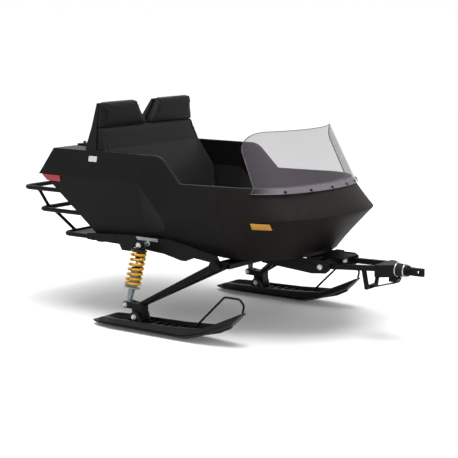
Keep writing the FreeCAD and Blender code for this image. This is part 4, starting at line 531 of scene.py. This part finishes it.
def ski_shell():
    """Closed sections across the ski, set along its length.

    Each half section runs from the sole's middle out along the sole, up a flared chine to a ledge, up the
    wall that stands in from it, over the rolled rim and down to the channel's floor; it is then mirrored."""
    x = np.concatenate([np.linspace(REAR_X, REAR_X + 0.16, 14)[:-1],
                        np.linspace(REAR_X + 0.16, FRONT_X - 0.24, 26)[:-1],
                        np.linspace(FRONT_X - 0.24, FRONT_X, 40)])
    half, sole, rim, floor = ski_lines(x)
    tall = rim - sole
    step = np.clip(tall / 0.05, 0.15, 1.0)
    foot = half * 0.56
    inner = half - WALL * step
    columns = [(foot * 0, sole), (foot * 0.5, sole), (foot - 0.004, sole), (foot, sole + 0.0012 * step),
               (half - 0.002 * step, sole + 0.014 * step), (half, sole + 0.016 * step),
               (half - 0.001 * step, sole + 0.018 * step), (half - 0.0085 * step, sole + 0.021 * step),
               (half - 0.0055 * step, rim - tall * 0.16), (half, rim - tall * 0.12),
               (half - 0.0008 * step, rim - 0.0012), (half - 0.003 * step, rim),
               (inner + 0.002 * step, rim), (inner, rim - 0.0015),
               (inner - 0.001 * step, floor + (rim - floor) * 0.5),
               (inner - 0.003 * step, floor + 0.003 * step), (inner - 0.007 * step, floor),
               (inner * 0.5, floor), (inner * 0, floor)]
    right = np.array([np.stack([x, y, z], axis=1) for y, z in columns])
    left = right[1:-1][::-1] * (1.0, -1.0, 1.0)
    return closed_form(np.concatenate([right, left]).transpose(1, 0, 2))


RIB_HALF, RAIL_TALL, CROSS_TALL, ROOTED = 0.003, 0.014, 0.018, 0.004
CROSS_RIBS = (-0.128, -0.078, -0.028, 0.022, 0.072)


def ski_ribs():
    """Two rails and five cross ribs that stand on the channel's floor ahead of the ears, each a trapezoid
    that is rooted a little below the floor."""
    low = FLOOR_Z - ROOTED
    rail = [(-0.140, low), (0.105, low), (0.095, FLOOR_Z + RAIL_TALL), (-0.130, FLOOR_Z + RAIL_TALL)]
    cross = [(-0.056, low), (0.056, low), (0.052, FLOOR_Z + CROSS_TALL), (-0.052, FLOOR_Z + CROSS_TALL)]
    return ([slab(rail, y - RIB_HALF, y + RIB_HALF) for y in (-0.030, 0.030)]
            + [slab(cross, x - RIB_HALF, x + RIB_HALF, axis=0) for x in CROSS_RIBS])


KEEL_HALF = 0.007


def ski_keel():
    """A thin keel under the toe: its lower edge falls away from the sole's climb and ends in a blunt step."""
    return slab([(0.100, BASE_Z + 0.004), (0.140, BASE_Z - 0.001), (0.165, BASE_Z + 0.006), (0.338, 0.059),
                 (0.398, 0.088), (0.407, 0.098), (0.405, 0.110), (0.338, 0.084), (0.250, 0.046),
                 (0.160, BASE_Z + 0.012)], -KEEL_HALF, KEEL_HALF)


EAR_IN, EAR_OUT, EAR_R, EAR_FOOT = 0.032, 0.046, 0.029, 0.044


def ski_ear(y_in, y_out):
    """An ear's side view, a trapezoid with its crown turned round the bolt, between two planes."""
    turn = np.radians(np.linspace(24, 156, 16))
    crown = np.stack([PIVOT[0] + EAR_R * np.cos(turn), PIVOT[2] + EAR_R * np.sin(turn)], axis=1).tolist()
    low = FLOOR_Z - ROOTED
    return slab([(PIVOT[0] + EAR_FOOT, low)] + crown + [(PIVOT[0] - EAR_FOOT, low)], y_in, y_out)


BOSS = [(0.0, 0.0205), (0.0012, 0.0200), (0.0014, 0.0190)]
PIVOT_BOLT_R, PIVOT_BOLT_OUT, PIVOT_HEAD, PIVOT_WASHER_R = 0.00635, 0.0476, 0.0072, 0.0150
for label, side in (("left", 1), ("right", -1)):
    body = f"{label}_ski"
    shift = np.array((0.0, side * SKI_MID, 0.0))
    shapes = [ski_shell(), ski_keel()] + ski_ribs()
    shapes += [ski_ear(*sorted((EAR_OUT * way, EAR_IN * way))) for way in (-1, 1)]
    shapes += [turned((PIVOT[0], way * EAR_OUT, PIVOT[2]), (0, way, 0), BOSS, 32) for way in (-1, 1)]
    shell = piece(f"moulded_ski_{label}", [(points + shift, faces) for points, faces in shapes], moulded,
                  body, edge_mm=0.8, crease=28.0)
    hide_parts(f"ski_{label}")
    pin_end = (PIVOT[0], side * (SKI_MID - PIVOT_BOLT_OUT), PIVOT[2])
    pin = piece(f"ski_pivot_bolt_{label}",
                hex_bolt(pin_end, (0, side, 0), PIVOT_BOLT_R, 2 * PIVOT_BOLT_OUT, PIVOT_HEAD,
                         washer_r=PIVOT_WASHER_R), zinc, body)
    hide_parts(f"ski_bolt_{label}")
    dress(f"ski_runner_{label}", zinc, edge_mm=1.0)
    dress(f"ski_loop_{label}", coat, edge_mm=0.0)


# ---------------------------------------------------------------- hull
# A rotomoulded double skin of black polyethylene: near black and almost matt, with a fine even grain
# from the mould and soft radiused edges. Painted light makes it lighter and browner towards the bow.
skin, tree, surface = start("rotomoulded_polyethylene", "#161616", 0.56, Specular_IOR_Level=0.10)
spot = add(tree, "ShaderNodeTexCoord").outputs["Object"]
parts = add(tree, "ShaderNodeSeparateXYZ", {"Vector": spot})
# painted light: the skin's colour grows lighter and browner towards the bow, where it turns to the light
bow_light_share = add(tree, "ShaderNodeMapRange", {"Value": parts.outputs["X"]}, From_Min=-0.5, From_Max=0.75)
painted_bow_light = add(tree, "ShaderNodeMixRGB", {"Fac": bow_light_share.outputs["Result"]}, Color1=tone("#121314"),
           Color2=tone("#181412"))
cloud = add(tree, "ShaderNodeTexNoise", {"Vector": spot}, Scale=per_mm(180), Detail=4.0)
drift = add(tree, "ShaderNodeMapRange", {"Value": cloud.outputs["Fac"]}, To_Min=0.86, To_Max=1.14)
shade = add(tree, "ShaderNodeVectorMath", {0: painted_bow_light.outputs["Color"]}, operation="SCALE")
tree.links.new(drift.outputs["Result"], shade.inputs["Scale"])
patch = add(tree, "ShaderNodeMapRange", {"Value": cloud.outputs["Fac"]}, To_Min=0.50, To_Max=0.62)
# the mould's grain is under a millimetre; it is drawn a little coarser so that it can show at all
grain = add(tree, "ShaderNodeTexNoise", {"Vector": spot}, Scale=per_mm(2.2), Detail=3.0)
peel = add(tree, "ShaderNodeBump", {"Height": grain.outputs["Fac"]}, Strength=0.45, Distance=0.00025)
feed(tree, surface, Base_Color=shade.outputs["Vector"], Roughness=patch.outputs["Result"],
     Normal=peel.outputs["Normal"])
dress("hull", skin, edge_mm=5.0)

# two blank stickers: a white one on the right side and a narrow silver one on the right side plate,
# both of printed film that has dulled unevenly
sticker, tree, surface = start("printed_vinyl_sticker", "#E4E3DF", 0.42, Specular_IOR_Level=0.4)
scuff = add(tree, "ShaderNodeTexNoise", {"Vector": add(tree, "ShaderNodeTexCoord").outputs["Object"]},
            Scale=per_mm(8), Detail=4.0)
feed(tree, surface, Base_Color=add(tree, "ShaderNodeMixRGB", {"Fac": scuff.outputs["Fac"]},
                                   Color1=tone("#CFCFCE"), Color2=tone("#F0EFEB")).outputs["Color"])
CHINE_Z, CHINE_Y, DECK_Z, DECK_Y = 0.757, 0.474, 0.900, 0.444
SIDE_LABEL_X, SIDE_LABEL_Z = (-0.608, -0.551), (0.844, 0.873)
RAIL_LABEL_X, RAIL_LABEL_Z = (-0.296, -0.150), (0.451, 0.468)


def rounded_patch(x, z, corner, face_y):
    """A thin sheet with rounded corners that lies on a face: face_y gives the face's distance from the
    centre plane at a height, and each point is set out by the sheet's thickness."""
    turn = np.radians(np.arange(0, 360, 15)).reshape(4, 6)
    centres = [(x[1] - corner, z[1] - corner), (x[0] + corner, z[1] - corner), (x[0] + corner, z[0] + corner),
               (x[1] - corner, z[0] + corner)]
    flat = np.concatenate([np.array(centre) + corner * np.stack([np.cos(part), np.sin(part)], axis=1)
                           for centre, part in zip(centres, turn)])
    grid = np.stack([np.stack([flat[:, 0], -(face_y(flat[:, 1]) + out), flat[:, 1]], axis=1)
                     for out in (-0.0006, 0.0005)])
    return closed_form(grid)


piece("blank_side_label", [rounded_patch(SIDE_LABEL_X, SIDE_LABEL_Z, 0.003,
                                         lambda z: np.interp(z, [CHINE_Z, DECK_Z], [CHINE_Y, DECK_Y]))],
      sticker, "sleigh")
foil, tree, surface = start("silver_foil_sticker", "#9A9B9D", 0.45, Metallic=0.4)
scuff = add(tree, "ShaderNodeTexNoise", {"Vector": add(tree, "ShaderNodeTexCoord").outputs["Object"]},
            Scale=per_mm(12), Detail=4.0)
feed(tree, surface, Base_Color=add(tree, "ShaderNodeMixRGB", {"Fac": scuff.outputs["Fac"]},
                                   Color1=tone("#6E6F72"), Color2=tone("#B9BABC")).outputs["Color"])
piece("blank_rail_label", [rounded_patch(RAIL_LABEL_X, RAIL_LABEL_Z, 0.002,
                                         lambda z: np.full_like(z, RAIL_FACE))],
      foil, "sleigh")


# ---------------------------------------------------------------- reflectors
# Moulded acrylic lenses, red at the rear corners and amber on the bow, with rows of small prisms
# behind a smooth face. The prisms are drawn about twice their real size so that they show.
LENSES = {"red_reflectors": ("#AC1322", "#E0343F"), "amber_reflectors": ("#EE9A26", "#FFC34C")}
for name, (deep, bright) in LENSES.items():
    lens, tree, surface = start(f"prismatic_{name.split('_')[0]}_lens", deep, 0.22, Specular_IOR_Level=0.35,
                                Coat_Weight=0.15, Coat_Roughness=0.1)
    spot = add(tree, "ShaderNodeTexCoord").outputs["Object"]
    prisms = add(tree, "ShaderNodeTexVoronoi", {"Vector": spot}, Scale=per_mm(6.0), Randomness=0.0,
                 distance="CHEBYCHEV")
    feed(tree, surface, Base_Color=add(tree, "ShaderNodeMixRGB", {"Fac": prisms.outputs["Distance"]},
                                       Color1=tone(bright), Color2=tone(deep)).outputs["Color"],
         Normal=add(tree, "ShaderNodeBump", {"Height": prisms.outputs["Distance"]}, Strength=0.35,
                    Distance=0.0006).outputs["Normal"])
    dress(name, lens, edge_mm=0.8)


# ---------------------------------------------------------------- seat
# Foam pads under black coated fabric, sewn with welted seams, on a moulded riser and a moulded back
# shell. Each cover is blown up as cloth, held at its seams and behind, so that its panels swell.
# injection moulded polypropylene: satin black, a little cloudy, with a grain drawn at 2 mm
trim, tree, surface = start("satin_black_trim", "#121112", 0.52, Specular_IOR_Level=0.14)
spot = add(tree, "ShaderNodeTexCoord").outputs["Object"]
cloud = add(tree, "ShaderNodeTexNoise", {"Vector": spot}, Scale=per_mm(90), Detail=3.0)
grain = add(tree, "ShaderNodeTexNoise", {"Vector": spot}, Scale=per_mm(2.0), Detail=3.0)
feed(tree, surface, Base_Color=add(tree, "ShaderNodeMixRGB", {"Fac": cloud.outputs["Fac"]},
                                   Color1=tone("#0F0F10"), Color2=tone("#171516")).outputs["Color"],
     Normal=add(tree, "ShaderNodeBump", {"Height": grain.outputs["Fac"]}, Strength=0.4,
                Distance=0.0002).outputs["Normal"])
dress("seat_riser", trim, edge_mm=3.0)
dress("seat_back_shell", trim, edge_mm=4.0)

# vinyl-coated woven fabric: soft black with a pebbled grain, shallow creases and a trace of sheen
cover, tree, surface = start("coated_seat_fabric", "#100F0F", 0.58, Specular_IOR_Level=0.11,
                             Sheen_Weight=0.05, Sheen_Roughness=0.5)
spot = add(tree, "ShaderNodeTexCoord").outputs["Object"]
wear = add(tree, "ShaderNodeTexNoise", {"Vector": spot}, Scale=per_mm(120), Detail=4.0)
# the embossed leather grain is about 1 mm; it is drawn at 3 mm so that it can show
pebbles = add(tree, "ShaderNodeTexVoronoi", {"Vector": spot}, Scale=per_mm(3.0), feature="SMOOTH_F1",
              Smoothness=0.6)
creases = add(tree, "ShaderNodeTexNoise", {"Vector": spot}, Scale=per_mm(24), Detail=5.0, Distortion=0.6)
fine = add(tree, "ShaderNodeBump", {"Height": pebbles.outputs["Distance"]}, Strength=0.5, Distance=0.0004)
broad = add(tree, "ShaderNodeBump", {"Height": creases.outputs["Fac"], "Normal": fine.outputs["Normal"]},
            Strength=0.35, Distance=0.0018)
feed(tree, surface, Base_Color=add(tree, "ShaderNodeMixRGB", {"Fac": wear.outputs["Fac"]},
                                   Color1=tone("#0C0B0B"), Color2=tone("#161414")).outputs["Color"],
     Roughness=add(tree, "ShaderNodeMapRange", {"Value": wear.outputs["Fac"]}, To_Min=0.48,
                   To_Max=0.64).outputs["Result"],
     Normal=broad.outputs["Normal"])


def points_of(mesh):
    """A mesh's vertices as an array."""
    flat = np.empty(len(mesh.vertices) * 3)
    mesh.vertices.foreach_get("co", flat)
    return flat.reshape(-1, 3)


def set_points(mesh, points):
    """Write an array back into a mesh's vertices."""
    mesh.vertices.foreach_set("co", np.asarray(points, float).ravel())
    mesh.update()


def settle(thing):
    """Replace an object's mesh by what its modifiers make of it, and drop the modifiers."""
    bpy.context.view_layer.update()
    graph = bpy.context.evaluated_depsgraph_get()
    made = bpy.data.meshes.new_from_object(thing.evaluated_get(graph))
    made.name = thing.name
    thing.modifiers.clear()
    thing.data = made
    return made


def even_copy(name, node_name, voxel_mm):
    """A copy of a CAD pad as an even net of squares, for the cloth to work on."""
    made = bpy.data.objects.new(name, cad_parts[node_name].data.copy())
    scene.collection.objects.link(made)
    net = made.modifiers.new("net", "REMESH")
    net.mode = "VOXEL"
    net.voxel_size = voxel_mm / 1000.0
    settle(made)
    finish_in(made.data, cover)
    return made


CUSHION_SEAM_Z, SIDE_SEAM_IN = 0.616, 0.022
BACK_Z = [0.640, 0.768, 0.905, 1.020, 1.155]
BACK_FRONT_X = [-0.380, -0.425, -0.526, -0.565, -0.559]
BACK_EDGE_Z, BACK_EDGE_Y = [0.640, 0.757, 0.900, 1.020], [0.380, 0.414, 0.414, 0.388]


def cushion_held(p):
    """Held where the cover is tucked under and along the welted seam of its border."""
    return (p[:, 2] < 0.568) | (np.abs(p[:, 2] - CUSHION_SEAM_Z) < 0.005)


def back_held(p):
    """Held behind the pad and along the two side seams."""
    front = np.interp(p[:, 2], BACK_Z, BACK_FRONT_X)
    edge = np.interp(p[:, 2], BACK_EDGE_Z, BACK_EDGE_Y)
    return (p[:, 0] < front - 0.032) | (np.abs(np.abs(p[:, 1]) - edge + SIDE_SEAM_IN) < 0.0045)


def head_held(p):
    """Held behind the pad and along its foot."""
    front = np.interp(p[:, 2], BACK_Z, BACK_FRONT_X)
    return (p[:, 0] < front - 0.026) | (p[:, 2] < 1.028)


# the cell of each pad's net in mm, what holds its cover, and the most that the cover may swell
CLOTH_FRAMES = 20
PADS = {"seat_cushion": (8.0, cushion_held, 0.010), "backrest_pad": (7.5, back_held, 0.010),
        "headrest_left": (5.5, head_held, 0.008), "headrest_right": (5.5, head_held, 0.008)}
pads = {}
for node_name, (voxel_mm, held, _) in PADS.items():
    pad = even_copy(f"sewn_{node_name}", node_name, voxel_mm)
    start_points = points_of(pad.data)
    pads[node_name] = (pad, start_points)
    pins = pad.vertex_groups.new(name="held")
    pins.add(np.flatnonzero(held(start_points)).tolist(), 1.0, "REPLACE")
    air = pad.modifiers.new("air", "CLOTH")
    air.settings.quality = 5
    air.settings.mass = 0.25
    air.settings.tension_stiffness = air.settings.compression_stiffness = 18.0
    air.settings.shear_stiffness = 8.0
    air.settings.bending_stiffness = 1.2
    air.settings.vertex_group_mass = "held"
    air.settings.use_pressure = True
    air.settings.uniform_pressure_force = 4.0
    air.settings.effector_weights.gravity = 0.0
    air.collision_settings.use_collision = False
    air.point_cache.frame_start, air.point_cache.frame_end = 1, CLOTH_FRAMES
for moment in range(1, CLOTH_FRAMES + 1):
    scene.frame_set(moment)

SEAM_DEPTH, SEAM_WIDE, WIDEST = 0.0030, 0.0065, 0.417
WELT_R, BACK_WELT_Y = 0.0030, 0.383


def bead(name, work, kept, radius, rounds, material):
    """Drop all but the kept edges of a bmesh, and carry a round section along the line that they make."""
    bmesh.ops.delete(work, geom=[edge for edge in work.edges if edge not in kept], context="EDGES")
    bmesh.ops.delete(work, geom=[point for point in work.verts if not point.link_edges], context="VERTS")
    mesh = bpy.data.meshes.new(name)
    work.to_mesh(mesh)
    work.free()
    made = bpy.data.objects.new(name, mesh)
    scene.collection.objects.link(made)
    bpy.ops.object.select_all(action="DESELECT")
    made.select_set(True)
    bpy.context.view_layer.objects.active = made
    bpy.ops.object.convert(target="CURVE")
    made.data.bevel_depth = radius
    made.data.bevel_resolution = rounds
    bpy.ops.object.convert(target="MESH")
    made.data.shade_smooth()
    finish_in(made.data, material)
    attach(made, "sleigh")


def welt(name, pad, at, normal):
    """Piping round a pad where a plane cuts it."""
    work = bmesh.new()
    work.from_mesh(pad.data)
    cut = bmesh.ops.bisect_plane(work, geom=work.verts[:] + work.edges[:] + work.faces[:], plane_co=at,
                                 plane_no=normal)["geom_cut"]
    seam = {item for item in cut if isinstance(item, bmesh.types.BMEdge)}
    bead(name, work, seam, WELT_R, 2, cover)


for node_name, (_, _, cap) in PADS.items():
    pad, start_points = pads[node_name]
    blown = settle(pad)
    move = points_of(blown) - start_points
    length = np.linalg.norm(move, axis=1, keepdims=True)
    shape = start_points + move * (cap * np.tanh(length / cap) / np.maximum(length, 1e-9))
    shape[:, 1] = np.clip(shape[:, 1], -WIDEST, WIDEST)
    set_points(blown, shape)
    pad.modifiers.new("smooth_net", "SMOOTH").iterations = 3
    finer = pad.modifiers.new("finer", "SUBSURF")
    finer.levels = finer.render_levels = 1
    finished = settle(pad)
    points = points_of(finished)
    normals = np.empty(len(finished.vertices) * 3)
    finished.vertices.foreach_get("normal", normals)
    if node_name == "seat_cushion":
        away_from_seam = np.abs(points[:, 2] - CUSHION_SEAM_Z)
    elif node_name == "backrest_pad":
        edge = np.interp(points[:, 2], BACK_EDGE_Z, BACK_EDGE_Y)
        away_from_seam = np.abs(np.abs(points[:, 1]) - edge + SIDE_SEAM_IN)
    else:
        away_from_seam = np.ones(len(points))
    sink = SEAM_DEPTH * np.exp(-(away_from_seam / SEAM_WIDE) ** 2)
    set_points(finished, points - normals.reshape(-1, 3) * sink[:, None])
    finished.shade_smooth()
    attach(pad, "sleigh")
    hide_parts(node_name)

welt("cushion_welt", pads["seat_cushion"][0], (0, 0, CUSHION_SEAM_Z), (0, 0, 1))
for label, side in (("left", 1), ("right", -1)):
    welt(f"back_welt_{label}", pads["backrest_pad"][0], (0, side * BACK_WELT_Y, 0), (0, 1, 0))


# ---------------------------------------------------------------- windscreen
# One bent sheet of lightly smoked polycarbonate, its cut edge polished to a grey line, screwed round
# the bow through a band drawn darker grey at its rear and paler towards the bow. The tint is drawn as a thin
# veil of colour.
veil, tree, surface = start("smoked_polycarbonate", "#6B666D", 0.32, Specular_IOR_Level=0.25, Alpha=0.287)
BAND_TOP_Z, BAND_RISE = 0.767, math.tan(math.radians(1.16))
parts = add(tree, "ShaderNodeSeparateXYZ", {"Vector": add(tree, "ShaderNodeTexCoord").outputs["Object"]})
slope = add(tree, "ShaderNodeMath", {0: parts.outputs["X"]}, operation="MULTIPLY_ADD")
slope.inputs[1].default_value = -BAND_RISE
slope.inputs[2].default_value = -BAND_TOP_Z
above = add(tree, "ShaderNodeMath", {0: parts.outputs["Z"], 1: slope.outputs[0]}, operation="ADD")
band = add(tree, "ShaderNodeMapRange", {"Value": above.outputs[0]}, From_Min=-0.001, From_Max=0.001)
# the band's colour runs from darker grey at its rear to paler towards the bow
band_paler_share = add(tree, "ShaderNodeMapRange", {"Value": parts.outputs["X"]}, interpolation_type="SMOOTHSTEP",
           From_Min=0.44, From_Max=0.56)
flange_tone = add(tree, "ShaderNodeMixRGB", {"Fac": band_paler_share.outputs["Result"]}, Color1=tone("#4A464C"),
                  Color2=tone("#958A96"))
feed(tree, surface, Base_Color=add(tree, "ShaderNodeMixRGB",
                                   {"Fac": band.outputs["Result"], "Color1": flange_tone.outputs["Color"]},
                                   Color2=tone("#6B666D")).outputs["Color"])
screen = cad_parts["windscreen"]
finish_in(screen.data, veil)

# the sheet's cut edge, flame polished: it gathers the tint into a darker, slightly uneven grey line
EDGE_R = 0.0016
edge_grey, tree, surface = start("polished_sheet_edge", "#4A484B", 0.25, Specular_IOR_Level=0.5)
haze = add(tree, "ShaderNodeTexNoise", {"Vector": add(tree, "ShaderNodeTexCoord").outputs["Object"]},
           Scale=per_mm(25), Detail=2.0)
feed(tree, surface, Base_Color=add(tree, "ShaderNodeMixRGB", {"Fac": haze.outputs["Fac"]},
                                   Color1=tone("#3A393B"), Color2=tone("#6C6A6D")).outputs["Color"])
work = bmesh.new()
work.from_mesh(screen.data)
bmesh.ops.remove_doubles(work, verts=work.verts[:], dist=0.00005)
sharp = {edge for edge in work.edges
         if len(edge.link_faces) == 2 and edge.calc_face_angle(0.0) > math.radians(50)}
bead("windscreen_edge", work, sharp, EDGE_R, 1, edge_grey)

# domed screws on flat washers, set round the bow by their bearing from a point in the cockpit
SCREW_CENTRE, SCREW_RANGE, SCREW_SUNK = Vector((0.33, 0.0, 0.7605)), 0.8, 0.001
SCREW_TURNS = np.radians((-54, -33, -7, 19, 39, 57))
SCREW_HEAD = [(0.0, 0.0080), (0.0022, 0.0080), (0.0024, 0.0058), (0.0050, 0.0050), (0.0060, 0.0034)]
screws = []
for turn in SCREW_TURNS:
    aim = Vector((math.cos(turn), math.sin(turn), 0.0))
    found, spot, normal, _ = screen.ray_cast(SCREW_CENTRE + aim * SCREW_RANGE, -aim)
    if found:
        screws.append(turned(spot - normal * SCREW_SUNK, normal, SCREW_HEAD, 24))
piece("windscreen_screws", screws, coat, "sleigh")


# ---------------------------------------------------------------- footwell mat
# A mat of moulded black rubber, ribbed from side to side so that snow and boots drain. It is cut to
# the floor with its front corners off, and lies loose.
LOW, HIGH = (np.array(corner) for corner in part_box("footwell_mat"))
RIB_PITCH, RIB_TALL, CORNER_OFF = 0.014, 0.0022, 0.075


def ribbed_sheet(rows, columns):
    """A cut sheet with ribs across it: the top's height is the base thickness plus the rib's height times
    a smoothed square wave of x, and the sheet narrows where its front corners are off."""
    x = np.linspace(LOW[0], HIGH[0], rows)
    half = np.interp(x, [LOW[0], HIGH[0] - CORNER_OFF, HIGH[0]], [HIGH[1], HIGH[1], HIGH[1] - CORNER_OFF])
    across_it = np.linspace(-1, 1, columns)
    rib = np.clip(0.5 + 1.6 * np.cos(2 * np.pi * x / RIB_PITCH), 0, 1) * RIB_TALL
    y = half[:, None] * across_it
    rim = np.clip((1 - np.abs(across_it)) * 30, 0, 1)
    top = HIGH[2] - RIB_TALL + rib[:, None] * rim
    upper = np.stack([np.broadcast_to(x[:, None], y.shape), y, top], axis=2)
    lower = np.stack([np.broadcast_to(x[:, None], y.shape), y, np.full_like(y, LOW[2])], axis=2)[:, ::-1]
    return closed_form(np.concatenate([upper, lower], axis=1))


mat = piece("ribbed_floor_mat", [ribbed_sheet(200, 60)], rubber, "sleigh", crease=50.0)
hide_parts("footwell_mat")


# ---------------------------------------------------------------- luggage lid
# A flat moulded lid over the space behind the seat, on two black steel hinges with countersunk screws.
# It has a latch with a folding pull ring, and a black snap at each side.
for name in ("luggage_lid", "lid_latch"):
    dress(name, trim, edge_mm=1.5)
dress("lid_hinges", coat, edge_mm=0.6)
LID_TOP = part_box("luggage_lid")[0][2] + 0.010
HINGE_X, HINGE_Y, SCREWS_APART = -0.696, 0.170, 0.018
SCREW_TOP = [(0.0, 0.0045), (0.0008, 0.0045), (0.0013, 0.0036), (0.0013, 0.0012)]
screw_spots = [(HINGE_X, side * HINGE_Y + way * SCREWS_APART / 2, LID_TOP)
               for side in (-1, 1) for way in (-1, 1)]
piece("lid_hinge_screws", [turned(place, (0, 0, 1), SCREW_TOP, 20) for place in screw_spots], zinc, "lid")

RING_LONG, RING_WIDE, RING_WIRE_R, RING_UP = 0.013, 0.014, 0.0016, 0.0014
latch_low, latch_high = (np.array(corner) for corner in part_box("lid_latch"))
latch_mid = (latch_low + latch_high) / 2
turn = np.radians(np.arange(0, 360, 10))
ring = np.stack([latch_mid[0] + RING_LONG * np.cos(turn), latch_mid[1] + RING_WIDE * np.sin(turn),
                 np.full(turn.shape, latch_high[2] + RING_UP)], axis=1)
piece("lid_pull_ring", [swept(ring, RING_WIRE_R, sides=10, closed=True)], zinc, "lid")

SNAP_X, SNAP_Y = -0.820, 0.246
SNAP = [(0.0, 0.0100), (0.0030, 0.0100), (0.0034, 0.0060), (0.0085, 0.0054), (0.0100, 0.0088),
        (0.0135, 0.0092), (0.0150, 0.0070)]
snaps = [turned((SNAP_X, side * SNAP_Y, LID_TOP - 0.0005), (0, 0, 1), SNAP, 28) for side in (-1, 1)]
piece("lid_side_snaps", snaps, trim, "lid")


# ---------------------------------------------------------------- tongue and hitch
# A welded fork of square tube, coated like the frame, on two zinc-plated bolts; at its head two
# bright washers clamp a black rubber bushing, and the forged shaft ends in an upright eye.
for name in ("tongue_frame", "tongue_skid", "hitch_shaft"):
    dress(name, coat, edge_mm=1.0)
dress("hitch_rings", zinc, edge_mm=0.8)
dress("hitch_bushing", rubber, edge_mm=2.0)
TONGUE_BOLT_X, TONGUE_BOLT_Z, TONGUE_BOLT_OUT = 0.659, 0.366, 0.1465
TONGUE_BOLT_R, TONGUE_GRIP, TONGUE_HEAD, TONGUE_WASHER_R = 0.008, 0.0500, 0.0080, 0.0150
tongue_bolts = []
for side in (-1, 1):
    tongue_bolts += hex_bolt((TONGUE_BOLT_X, side * TONGUE_BOLT_OUT, TONGUE_BOLT_Z), (0, -side, 0),
                             TONGUE_BOLT_R, TONGUE_GRIP, TONGUE_HEAD, washer_r=TONGUE_WASHER_R)
pivots = piece("tongue_pivot_hex_bolts", tongue_bolts, zinc, "sleigh")
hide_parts("tongue_pivot_bolts")
